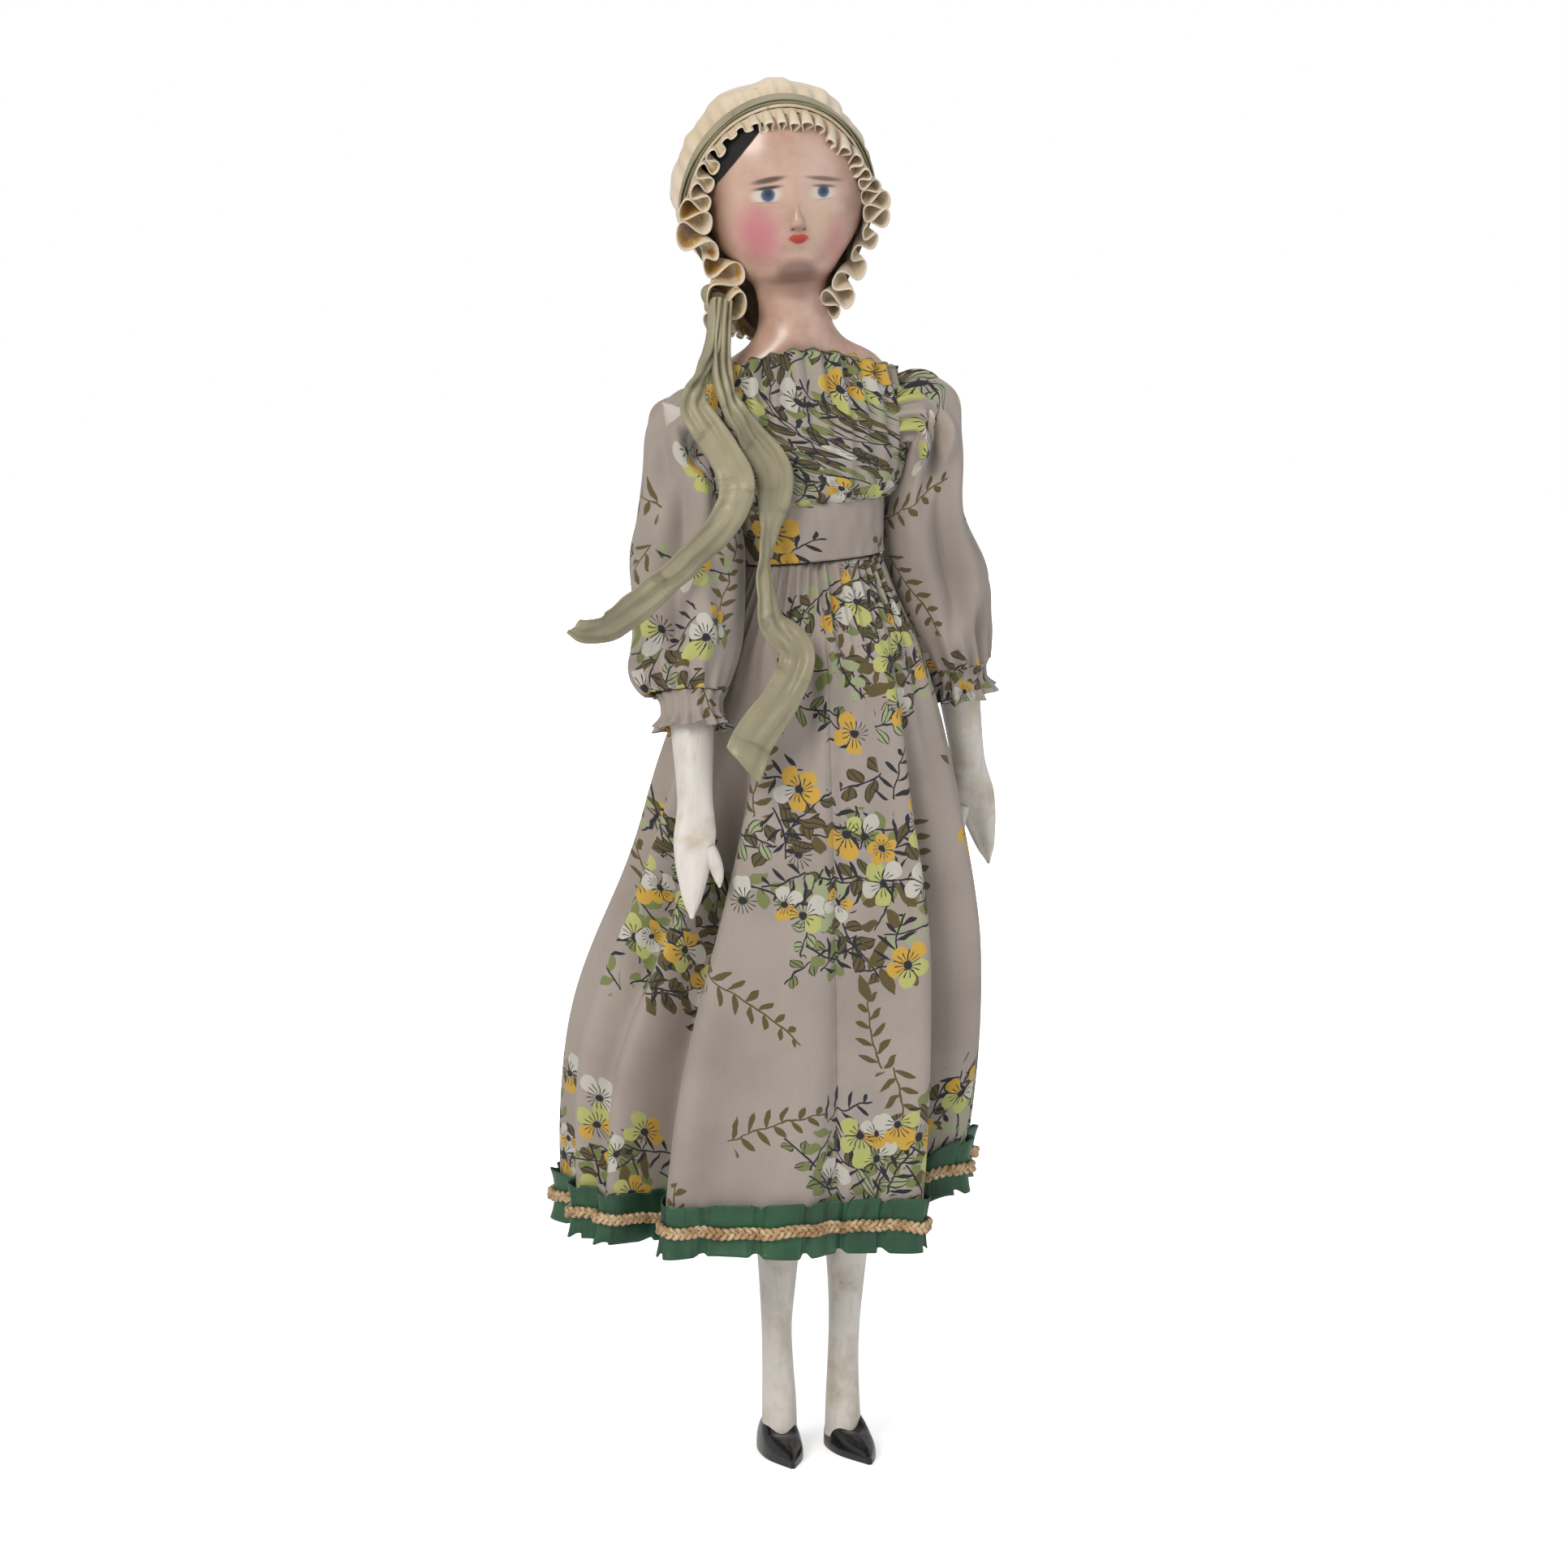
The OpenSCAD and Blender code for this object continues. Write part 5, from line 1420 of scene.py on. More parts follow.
    def hem_ribbon(self, side: Side, finish: Material) -> Object:
        """Green ribbon over the hem, in box pleats every 12 or so, with edges that curl a little."""
        n = 420
        s, v = np.linspace(0, 1, n), np.linspace(0, 1, 19)
        t = 1 - self.ribbon * (1 - v) / self.length
        a = self.angles(side, np.full(len(v), 0.999), s)
        base = self.surface(a, t[:, None])
        run = run_length(base[-1], 0)
        pleat = self.pleats(run)
        edge = np.abs(2 * v - 1)[:, None]
        flare = (0.8 + 0.7 * edge**2) * pleat[None, :] + 0.35 * edge**3
        wave = 0.95 * (2 * v - 1)[:, None] * pleat[None, :] * (1 + 0.35 * np.sin(run / 7.3))[None, :]
        points = self.surface(a, t[:, None], 0.95 + flare, self.hem_line(a) - wave - 0.3)
        obj = build_grid(f"{side.word}_hem_ribbon", place(points), self.flat_lay(run * 1.25, v * self.ribbon))
        finish_sheet(obj, finish, 0.3)
        self.attach(obj, side, "hem_ribbon")
        return obj

    def flat_lay(self, run: Array, down: Array) -> Array:
        """Cloth coordinates of a strip from its two lengths in millimetres."""
        return uv_grid(run[None, :], -down[:, None])

    def pleats(self, run: Array) -> Array:
        """Box pleats: 0 in a narrow seam every 12.2, 1 on the flat between, from the distance along."""
        phase = (run + 1.4 * np.sin(run / 9.0)) / 12.2
        near = np.abs(phase - np.round(phase)) * 12.2
        return ease(near, 0.35, 1.9)

    def braid(self, side: Side, finish: Material) -> Object:
        """Gold braid along the ribbon's middle: three strands a third of a turn apart.

        Each strand runs at 1.15 sin(phase) up and 0.42 sin(2 phase) out, with a turn every 5.4 millimetres.
        """
        n = 760
        s = np.linspace(0.0008, 0.9992, n)
        a = self.angles(side, np.array([0.999]), s)[0]
        t = np.full(n, 1 - self.ribbon * 0.48 / self.length)
        run = run_length(self.surface(a, t), 0)
        pleat = self.pleats(run)
        parts = []
        for strand in range(3):
            phase = 2 * np.pi * (run / 5.4 + strand / 3)
            lift = 1.15 * np.sin(phase) + self.hem_line(a) - 0.3 + 0.5 * np.sin(run / 6.1) + 0.25 * np.sin(run / 1.9)
            out = 2.1 + 0.42 * np.sin(2 * phase) + 0.6 * pleat + 0.15 * np.sin(run / 1.3 + strand)
            path = self.surface(a, t, out, lift)
            ring = tube(path, np.stack([np.full(n, 0.62), np.full(n, 0.5)], axis=1), 8)
            uv = uv_grid(run[:, None], np.linspace(0, 3.6, 9)[None, :])
            parts.append(build_grid("strand", place(ring), uv, loops=(False, True), caps=True))
        obj = join(f"{side.word}_hem_braid", parts)
        obj.data.materials.clear()
        obj.data.materials.append(finish)
        self.attach(obj, side, "hem_braid")
        return obj

    def attach(self, obj: Object, side: Side, node: str) -> None:
        """Works out a skirt piece's weights for the thigh of its side, which are not used, and hides the CAD node that
        it replaces.
        """
        follow(obj, lambda p: hip_weights(p, side))
        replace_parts(obj, node)

    def make(self, cloth: Material, satin: Material, gold: Material) -> list[Object]:
        made = []
        for side in Side:
            ribbon, braid = self.hem_ribbon(side, satin), self.braid(side, gold)
            skirt = self.half(side, cloth)
            declare_cloth(skirt)
            declare_cloth(ribbon)
            made += [skirt, ribbon, braid]
        return made


def cut_size(obj: Object) -> tuple[tuple[float, float], float]:
    """Flat size and area of a sheet, in metres, from its cloth coordinates, which lie as the cloth was cut."""
    mesh = obj.data
    mesh.calc_loop_triangles()
    uv = np.zeros(len(mesh.loops) * 2, np.float32)
    mesh.uv_layers["cloth"].data.foreach_get("uv", uv)
    uv = uv.reshape(-1, 2).astype(float)
    corners = np.zeros(len(mesh.loop_triangles) * 3, np.int32)
    mesh.loop_triangles.foreach_get("loops", corners)
    a, b, c = uv[corners.reshape(-1, 3)].transpose(1, 0, 2)
    area = 0.5 * np.abs((b - a)[:, 0] * (c - a)[:, 1] - (b - a)[:, 1] * (c - a)[:, 0]).sum()
    width, length = np.ptp(uv[:, 0]), np.ptp(uv[:, 1])
    return (float(width), float(length)), float(min(area, width * length))


def declare_cloth(obj: Object) -> None:
    """Logs the flat size and area that a sheet's cloth coordinates have."""
    size, area = cut_size(obj)
    LOG.info("%s: cut from %.0f x %.0f mm, %.0f mm2", obj.name, size[0] / MM, size[1] / MM, area / MM**2)


@dataclass
class Bodice:
    """Short gathered bodice with round armholes, over a plain band above the waist.

    Attributes:
        rings: inner half width, half depth and height from the band to the neckline.
        band: inner half width and half depth of the band, and its two heights.
        armhole: radius of each armhole round its shoulder joint.
        gathers: gathers round the neckline.
    """

    rings: Sequence[tuple[float, float, float]] = (
        (20.6, 13.5, 264.0),
        (23.6, 15.0, 266.0),
        (26.6, 16.4, 272.0),
        (28.0, 16.8, 281.0),
        (27.4, 16.2, 291.0),
        (25.2, 13.6, 300.6),
        (25.4, 13.3, 303.0),
    )
    band: tuple[float, float, float, float] = (18.9, 13.1, 249.2, 265.4)
    armhole: float = 8.9
    shoulder: tuple[float, float] = (32.85, 286.0)
    gathers: int = 29
    across: int = 480
    rows: int = 64

    def folds(self, a: Array, t: Array) -> Array:
        """Gathers 1.5 deep at the neckline that fade towards the band, others 0.7 deep above it, and two seams."""
        wander = 7 * sin_deg(5 * a) + 5 * sin_deg(3 * a + 70)
        neck = 1.5 * sin_deg(self.gathers * a + wander * 5) * (0.7 + 0.3 * sin_deg(9 * a)) * ease(t, 0.1, 0.85)
        band = 0.7 * sin_deg((self.gathers - 5) * a - wander * 4) * ease(t, 0.5, 0.03) * ease(t, -0.01, 0.06)
        seam = -0.55 * (bump(a, 270, 1.6) + bump(a, 90, 1.6)) * ease(t, 1.0, 0.94)
        return neck + band + seam + 0.35 * ripple(a / 35, t * 2.2, 5)

    def shape(self, finish: Material) -> Object:
        """The bodice: rings from the band to the neckline, with a rolled gathered top edge and two armholes."""
        t = np.linspace(0, 1, self.rows)
        a = np.linspace(0, 360, self.across, endpoint=False)
        ring = along(self.rings, t)
        f = self.folds(a[None, :], t[:, None])
        x = (ring[:, :1] + 0.55 + f) * cos_deg(a)
        y = (ring[:, 1:2] + 0.55 + f) * sin_deg(a)
        edge = 0.7 * sin_deg(self.gathers * a + 40)[None, :] * ease(t, 0.93, 1.0)[:, None]
        curve = (2.6 * bump(a, 270, 40) - 3.6 * cos_deg(a) ** 2 - 1.6 * cos_deg(a))[None, :]
        curve = curve * ease(t, 0.5, 1.0)[:, None]
        z = np.broadcast_to(ring[:, 2:], x.shape) + edge + curve
        points = np.stack([x, y, z], axis=-1)
        run = run_length(points, 1, closed=True)
        fall = run_length(ring, 0)
        uv = np.stack([run, np.broadcast_to(fall[:, None], run.shape)], axis=-1) * MM
        obj = build_grid("bodice_cloth", place(leaned(points)), uv, loops=(False, True))
        self.open_armholes(obj)
        finish_sheet(obj, finish, 0.4)
        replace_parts(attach(obj, "figure"), "bodice")
        return obj

    def open_armholes(self, obj: Object) -> None:
        """Cuts a round hole about each shoulder joint and draws the hole's edge on to the circle."""
        bm = bmesh.new()
        bm.from_mesh(obj.data)
        hole, innermost = self.armhole * MM, -0.018
        for side in Side:
            centre = place(leaned(np.array([side.value * self.shoulder[0], 0.0, self.shoulder[1]])))
            axis = np.array([math.cos(LEAN), 0.0, math.sin(LEAN)])

            def spoke(co: Vector) -> tuple[Array, float, float]:
                """Vector square to the axis, its length, and the distance along the axis outwards."""
                d = np.array(co) - centre
                reach = float(d @ axis)
                r = d - reach * axis
                return r, float(np.linalg.norm(r)), reach * side.value

            gone = []
            for face in bm.faces:
                _, length, reach = spoke(face.calc_center_median())
                if length < hole and reach > innermost:
                    gone.append(face)
            bmesh.ops.delete(bm, geom=gone, context="FACES")
            for v in bm.verts:
                if v.is_boundary:
                    r, length, reach = spoke(v.co)
                    if length < hole + 2.0 * MM and reach > innermost:
                        v.co = Vector(np.array(v.co) + r * (hole / length - 1))
        bm.to_mesh(obj.data)
        bm.free()

    def shape_band(self, finish: Material) -> Object:
        """The band: a ring with rounded edges and shallow wrinkles, printed like the rest."""
        wide, deep, low, high = self.band
        t = np.linspace(0, 1, 26)
        a = np.linspace(0, 360, 240, endpoint=False)
        edges = (ease(t, 0.2, 0.0) + ease(t, 0.8, 1.0))[:, None] * 0.6
        gathers = 0.25 * sin_deg(31 * a + 30 * sin_deg(4 * a))[None, :]
        wrinkle = 0.22 * ripple(a[None, :] / 18, t[:, None] * 1.6, 21) + gathers * edges
        swell = 0.5 + 0.35 * np.sin(np.pi * t)[:, None]
        seam = -0.4 * (bump(a, 270, 1.8) + bump(a, 90, 1.8))[None, :]
        x = (wide + swell + wrinkle + seam + 1.3 * t[:, None] ** 2) * cos_deg(a)
        y = (deep + swell + wrinkle + seam + 0.5 * t[:, None] ** 2) * sin_deg(a)
        z = np.broadcast_to(low + (high - low) * t[:, None], x.shape)
        points = np.stack([x, y, z], axis=-1)
        ring = np.linspace(0, 2 * math.pi * math.sqrt((wide**2 + deep**2) / 2), len(a) + 1)
        uv = uv_grid(ring[None, :] + 51.0, (high - low) * t[:, None] + 57.0)
        obj = build_grid("midriff_band", place(leaned(points)), uv, loops=(False, True))
        finish_sheet(obj, finish, 0.45)
        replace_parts(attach(obj, "figure"), "waistband")
        return obj

    def make(self, finish: Material, band_finish: Material) -> list[Object]:
        bodice, band = self.shape(finish), self.shape_band(band_finish)
        declare_cloth(band)
        declare_cloth(bodice)
        return [bodice, band]


@dataclass
class Sleeve:
    """Long sleeve from a round armhole, bent over the shoulder, full at the elbow and gathered into a cuff.

    Attributes:
        arm: the arm that it is on.
        outer, inner: (outwards, up) of the sleeve's outer and inner line, from the armhole to the cuff.
        deep: half depth from front to back along the same course.
        bottom: depth of the cuff's top edge below the shoulder.
        fuller: bell curves (share of the length, width, millimetres) by which it stands further out than outer.
        seed: fixes where its folds fall.
        cuff_cut: (length, depth) of the flat cuff.
    """

    arm: Arm
    outer: Sequence[tuple[float, float]] = (
        (-5.3, 9.6), (-1.5, 10.6), (2.6, 9.8), (5.8, 7.2), (7.6, 3.0), (8.6, -2.5),
        (9.6, -10.0), (10.9, -22.0), (13.0, -36.0), (14.9, -50.0), (14.2, -61.0), (9.6, -71.2),
    )
    inner: Sequence[tuple[float, float]] = (
        (-5.3, -9.6), (-6.4, -10.3), (-7.6, -11.2), (-8.8, -12.4), (-10.0, -14.0), (-11.2, -16.5),
        (-13.2, -21.0), (-15.4, -30.0), (-15.6, -42.0), (-14.6, -54.0), (-12.4, -63.0), (-9.3, -71.2),
    )
    deep: Sequence[float] = (9.4, 9.9, 10.3, 10.6, 10.9, 11.2, 11.7, 12.2, 12.6, 12.4, 11.4, 9.3)
    bottom: float = 71.2
    fuller: tuple[tuple[float, float, float], ...] = ()
    seed: int = 3
    cuff_cut: tuple[float, float] = (78.0, 11.0)
    across: int = 240
    rows: int = 150

    def folds(self, b: Array, t: Array) -> Array:
        """Depth of the folds at angle b and share t: gathers at both ends and long slanting folds between.

        Gathers: sin(17 b) at the armhole and sin(16 b) at the cuff, which fade along the sleeve. Folds: sine waves
        of 5 and 9 round the sleeve that drift as they go down, and an irregular ripple. Both are calmer at the sides.
        """
        drift = 60 * sin_deg(1.3 * 360 * t + 50 * self.seed) + 90 * t
        top = ease(t, 0.4, 0.03) * sin_deg(17 * b + 30 * sin_deg(2 * b))
        cuff = ease(t, 0.8, 1.0) * sin_deg(16 * b)
        long = 1.9 * sin_deg(5 * b + drift + 60 * self.seed) + sin_deg(9 * b - drift)
        slant = 3.0 * ripple(b / 60 + 1.6 * t, t * 3.0, 40 + self.seed)
        calm = 1 - 0.65 * cos_deg(b) ** 2
        return top + cuff + (long + slant) * calm * ease(t, 0.02, 0.35) * ease(t, 1.02, 0.85)

    def shape(self, finish: Material) -> Object:
        """The sleeve: an oval ring between each pair of outer and inner points, as deep as deep says.

        The armhole's front and back reach 4.6 sin^2 further in, to lie on the bodice.
        """
        side = self.arm.side.value
        b = np.linspace(0, 360, self.across, endpoint=False)
        t = np.linspace(0, 1, self.rows)[:, None]
        outer, inner, deep = along(self.outer, t[:, 0]), along(self.inner, t[:, 0]), along(self.deep, t)
        outer[:, 0] += sum(d * bump(t[:, 0], at, width) for at, width, d in self.fuller)
        middle, reach = (outer + inner) / 2, (outer - inner) / 2
        half = np.linalg.norm(reach, axis=1, keepdims=True)
        f = self.folds(b[None, :], t)
        f = f * (1 - 0.75 * ease(cos_deg(b), -0.2, -0.9)[None, :])
        spoke = (1 + f / half) * cos_deg(b)
        o = middle[:, :1] + reach[:, :1] * spoke - 4.6 * sin_deg(b)[None, :] ** 2 * ease(t, 0.14, 0.0)
        z = middle[:, 1:] + reach[:, 1:] * spoke
        y = (deep + f) * sin_deg(b)
        points = np.stack([side * o, y, z], axis=-1)
        run = run_length(points, 1, closed=True)
        uv = uv_grid(run - run[:, -1:] / 2 + 17 * self.seed, -run_length(middle, 0)[:, None])
        obj = build_grid(f"{self.arm.side.word}_sleeve_cloth", self.arm.placed(points), uv, loops=(False, True))
        finish_sheet(obj, finish, 0.4)
        start = self.arm.placed(np.array([0.0, 0.0, -52.0]))
        end = self.arm.placed(np.array([0.0, 0.0, -70.0]))
        word = self.arm.side.word
        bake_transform(obj)
        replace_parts(obj, f"{word}_sleeve")
        return obj

    def shape_cuff(self, finish: Material) -> Object:
        """The cuff: a gathered band that flares into a small frill over the wrist."""
        b = np.linspace(0, 360, 240, endpoint=False)
        t = np.linspace(0, 1, 34)
        radius = along((9.0, 8.3, 8.1, 8.2, 8.9, 9.9), t)[:, None]
        depth = 0.28 + 0.9 * ease(t, 0.5, 1.0) + 0.25 * ease(t, 0.25, 0.0)
        frill = depth[:, None] * sin_deg(16 * b + 25 * sin_deg(3 * b))[None, :]
        x = (radius + frill) * cos_deg(b)
        y = (radius + frill) * sin_deg(b)
        z = -self.bottom - 0.1 - 9.2 * t[:, None] + 0.5 * sin_deg(8 * b + 60)[None, :] * ease(t, 0.7, 1.0)[:, None]
        points = np.stack([x, y, np.broadcast_to(z, x.shape)], axis=-1)
        length, width = self.cuff_cut
        run = np.linspace(0, length, len(b) + 1)
        uv = uv_grid(run[None, :] + 23 * self.seed, -width * t[:, None] + 90)
        obj = build_grid(f"{self.arm.side.word}_cuff_cloth", self.arm.placed(points), uv, loops=(False, True))
        finish_sheet(obj, finish, 0.4)
        word = self.arm.side.word
        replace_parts(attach(obj, f"{word}_forearm"), f"{word}_cuff")
        return obj

    def make(self, finish: Material) -> list[Object]:
        sleeve, cuff = self.shape(finish), self.shape_cuff(finish)
        declare_cloth(sleeve)
        declare_cloth(cuff)
        return [sleeve, cuff]


SLEEVE_FULLNESS = {
    Side.RIGHT: ((0.96, 0.07, 3.6), (0.66, 0.12, 2.2), (0.2, 0.1, -2.4)),
    Side.LEFT: ((0.7, 0.1, -4.2), (0.42, 0.1, 2.0), (0.89, 0.08, -3.8)),
}


@dataclass
class Bonnet:
    """Cream silk bonnet: a gathered crown, a curled ruffle round the face and a sage band tied under the right ear.

    A point of its own frame is (u across, v up the tilted opening, w back from the opening).

    Attributes:
        opening: half width and half height of the opening.
        depth: how far the crown goes back.
        top: y and height of the opening's highest point.
        room: how far the visible silk stands outside the crown's inner face.
        tilt: how far the opening's plane leans back.
        shift: how far it sits to the doll's right of the body's middle line.
        curls: S-curls of the ruffle round the opening.
        crown_fall: fall of the crown's flat silk from the rim to the rosette.
        seam, gathering: length of the seam round the opening, and how many times longer the ruffle's strip is.
        ruffle_deep: depth of the ruffle's strip.
        band_cut: (length, width) of the flat band.
    """

    opening: tuple[float, float] = (25.5, 32.6)
    depth: float = 30.0
    top: tuple[float, float] = (-15.4, 368.4)
    tilt: float = math.asin(33.54 / 67)
    room: float = 1.0
    shift: float = 2.0
    curls: int = 40
    crown_fall: float = 44.0
    seam: float = 187.0
    gathering: float = 1.9
    ruffle_deep: float = 10.4
    band_cut: tuple[float, float] = (148.0, 10.5)

    def placed(self, u: Array, v: Array, w: Array) -> Array:
        """Metres in the row frame: the frame leans back by the tilt, then with the figure."""
        s, c = math.sin(self.tilt), math.cos(self.tilt)
        half = self.opening[1]
        y = self.top[0] + half * s - v * s + w * c
        z = self.top[1] - half * c + v * c + w * s
        u, y, z = np.broadcast_arrays(u - self.shift, y, z)
        return place(leaned(np.stack([u, y, z], axis=-1)))

    def rim(self, a: Array, share: Array) -> tuple[Array, Array, Array]:
        """Half width, half height and forward pull at angle a, where share fades from 1 at the rim to 0 on the crown.

        The rim is drawn in below, where it hugs the jaw, hangs lower than the crown and comes forward at the cheeks.
        """
        low = ease(-sin_deg(a), -0.2, 0.62)
        right, left = ease(-cos_deg(a), -0.2, 0.4), ease(cos_deg(a), -0.2, 0.4)
        wide = self.opening[0] - (1.3 + low * (8.6 * right + 8.2 * left)) * share - 5.4 * low * (1 - share)
        high = self.opening[1] + 4.0 * ease(-sin_deg(a), 0.2, 1.0) * share
        turn = np.mod(a, 360)
        return wide, high, (6.0 * bump(turn, 208, 24) + 9.0 * bump(turn, 328, 26)) * share

    def dome(self, a: Array, t: Array, out: Array) -> tuple[Array, Array, Array]:
        """The crown: half width and height shrink as cos(90 t)^0.8, puffed by about a tenth a third of the way back."""
        k = np.maximum(cos_deg(90 * t), 0) ** 0.8
        k = k * (1 + 0.1 * sin_deg(180 * np.minimum(1, 1.3 * t)) + 0.015 * bump(t, 0.2, 0.1))
        wide, high, pull = self.rim(a, ease(t, 0.3, 0.02))
        return (wide + out) * k * cos_deg(a), (high + out) * k * sin_deg(a), (self.depth + out) * sin_deg(90 * t) - pull

    def gathers(self, a: Array, t: Array) -> Array:
        """Pleats behind the band and at the back, fading over the crown, with a few long creases."""
        near = ease(t, 0.4, 0.1) * 0.5 * sin_deg(37 * a + 90 * sin_deg(3 * a))
        far = ease(t, 0.6, 0.95) * 0.5 * sin_deg(24 * a)
        crease = 0.4 * sin_deg(13 * a + 50 * sin_deg(2 * a) + 80 * t) + 0.8 * ripple(a / 40, t * 2.4, 8)
        return near * ease(t, 0.0, 0.1) + far + crease * np.sin(np.pi * np.clip(t, 0, 1)) ** 0.7

    def crown(self, finish: Material) -> Object:
        """The crown, closed at the back with a small gathered rosette."""
        rows, columns = 96, 320
        t = np.linspace(0, 0.985, rows)[:, None]
        a = np.linspace(0, 360, columns, endpoint=False)[None, :]
        points = self.placed(*self.dome(a, t, self.room + self.gathers(a, t)))
        run = run_length(points, 1, closed=True) / MM
        fall = np.broadcast_to(np.linspace(0, self.crown_fall, rows)[:, None], run.shape)
        obj = build_grid("bonnet_crown_silk", points, uv_grid(run, fall), loops=(False, True))
        bm = bmesh.new()
        bm.from_mesh(obj.data)
        bm.verts.ensure_lookup_table()
        rosette = [v for v in bm.verts if v.is_boundary and v.index >= (rows - 1) * columns]
        bmesh.ops.contextual_create(bm, geom=rosette)
        bmesh.ops.recalc_face_normals(bm, faces=bm.faces)
        bm.to_mesh(obj.data)
        bm.free()
        turn_outwards(obj.data)
        obj.data.polygons.foreach_set("use_smooth", np.ones(len(obj.data.polygons), bool))
        self.dress(obj, finish, "bonnet_crown")
        thicken(obj, 0.4, 0.0)
        return obj

    def ruffle(self, finish: Material) -> Object:
        """Ruffle: a strip sewn along the rim, standing forward, whose free edge snakes in S-curls.

        At angle a and share q of its depth, a point is the rim + reach q forward and sideways + swing g sin(k)
        across - curl g sin(2 k) along the rim, with g = q^0.7. The curls are wider beside the right cheek, and the
        ruffle is narrow at the temple, under the chin and behind the jaw.
        """
        n, m = 1800, 15
        a = np.linspace(-90, 270, n, endpoint=False)[None, :]
        q = np.linspace(0, 1, m)[:, None]
        g = q**0.7
        turn = np.mod(a, 360)
        cheek, temple = bump(turn, 182, 20), bump(turn, 128, 22)
        hidden, jaw = bump(turn, 246, 22), bump(turn, 199, 13)
        rate = self.curls * (1 - 0.42 * cheek + 0.2 * jaw) * (1 + 0.12 * sin_deg(5 * a))
        k = np.cumsum(rate, axis=1) * 360 / n
        k = k * np.round(k[0, -1] / 360) * 360 / k[0, -1]
        sides, low = ease(np.abs(cos_deg(a)), 0.45, 0.9), ease(-sin_deg(a), 0.0, 0.6)
        left = ease(cos_deg(a), -0.1, 0.3)
        size = 1.15 + 0.26 * sin_deg(5 * a + 50) + 0.24 * sin_deg(11 * a)
        size = size * (1 + 0.4 * sides + 1.1 * cheek + 1.2 * jaw - 0.45 * temple - 0.6 * hidden + 0.9 * low * left)
        reach = 6.2 + 1.4 * sides + 2.6 * low + 1.0 * cheek + 2.0 * jaw - 3.0 * temple - 5.0 * hidden
        reach = reach * (1 + 0.08 * sin_deg(9 * a) + 0.1 * sin_deg(14 * a + 60))
        aside = -0.42 * ease(sin_deg(a), 0.1, 0.8) * (1 - temple)
        aside = aside + 0.6 * low * (1 - cheek) * (1 - left) - 0.45 * low * left
        aside = np.clip(aside + 0.12 * sides - 0.1 * cheek - 0.4 * jaw, -0.85, 0.85)
        forward = np.sqrt(1 - aside**2)
        swing = 1.75 * size * g * sin_deg(k)
        radial = reach * q * aside + swing * forward
        ahead = -reach * q * forward + swing * aside
        curl = -0.8 * size * g * sin_deg(2 * k)
        wide, high, pull = self.rim(a, 1.0)
        ang = a + np.degrees(curl / 29.0)
        u = (wide + 0.4 + radial) * cos_deg(ang)
        v = (high + 0.4 + radial) * sin_deg(ang)
        points = self.placed(u, v, 0.4 + ahead - pull)
        uv = uv_grid(np.linspace(0, self.seam * self.gathering, n + 1)[None, :], self.ruffle_deep * q)
        obj = build_grid("bonnet_ruffle_silk", points, uv, loops=(False, True))
        self.dress(obj, finish, "bonnet_ruffle")
        thicken(obj, 0.3, 0.0)
        return obj

    def band(self, finish: Material) -> Object:
        """Sage band over the seam, folded in four, from under one ear over the head to the other."""
        n, m = 260, 41
        s = np.linspace(0, 1, n)[:, None]
        c = np.linspace(0, 1, m)[None, :]
        a = 216 - (216 + 34) * s
        fold = np.abs(2 * c - np.round(2 * c)) * 2
        t = 0.012 + 0.052 * fold * (1 + 0.1 * sin_deg(900 * s + 60))
        wrinkle = 0.1 * sin_deg(360 * 3.1 * c + 200 * s) + 0.12 * sin_deg(4 * 360 * s + 500 * c)
        points = self.placed(*self.dome(a, t, self.room + 0.2 + 1.3 * c + wrinkle))
        length, width = self.band_cut
        obj = build_grid("bonnet_band", points, uv_grid(length * s, width * c))
        self.dress(obj, finish, "bonnet_ribbon")
        thicken(obj, 0.25, 0.0)
        return obj

    def dress(self, obj: Object, finish: Material, node: str) -> None:
        """Gives a bonnet piece its finish, slot, body and CAD node."""
        obj.data.materials.append(finish)
        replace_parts(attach(obj, "figure"), node)

    def make(self, crown_silk: Material, ruffle_silk: Material, sage: Material) -> list[Object]:
        crown, ruffle, band = self.crown(crown_silk), self.ruffle(ruffle_silk), self.band(sage)
        declare_cloth(crown)
        declare_cloth(ruffle)
        declare_cloth(band)
        return [crown, ruffle, band]


@dataclass(frozen=True)
class Route:
    """Course of one ribbon tail, as it hangs.

    Attributes:
        name: the piece's name.
        node: the CAD node that it replaces.
        steps: x, y, height above the soles, width, and twist in degrees.
        cut: how far one corner of the end hangs past the other.
    """

    name: str
    node: str
    steps: tuple[tuple[float, float, float, float, float], ...]
    cut: float


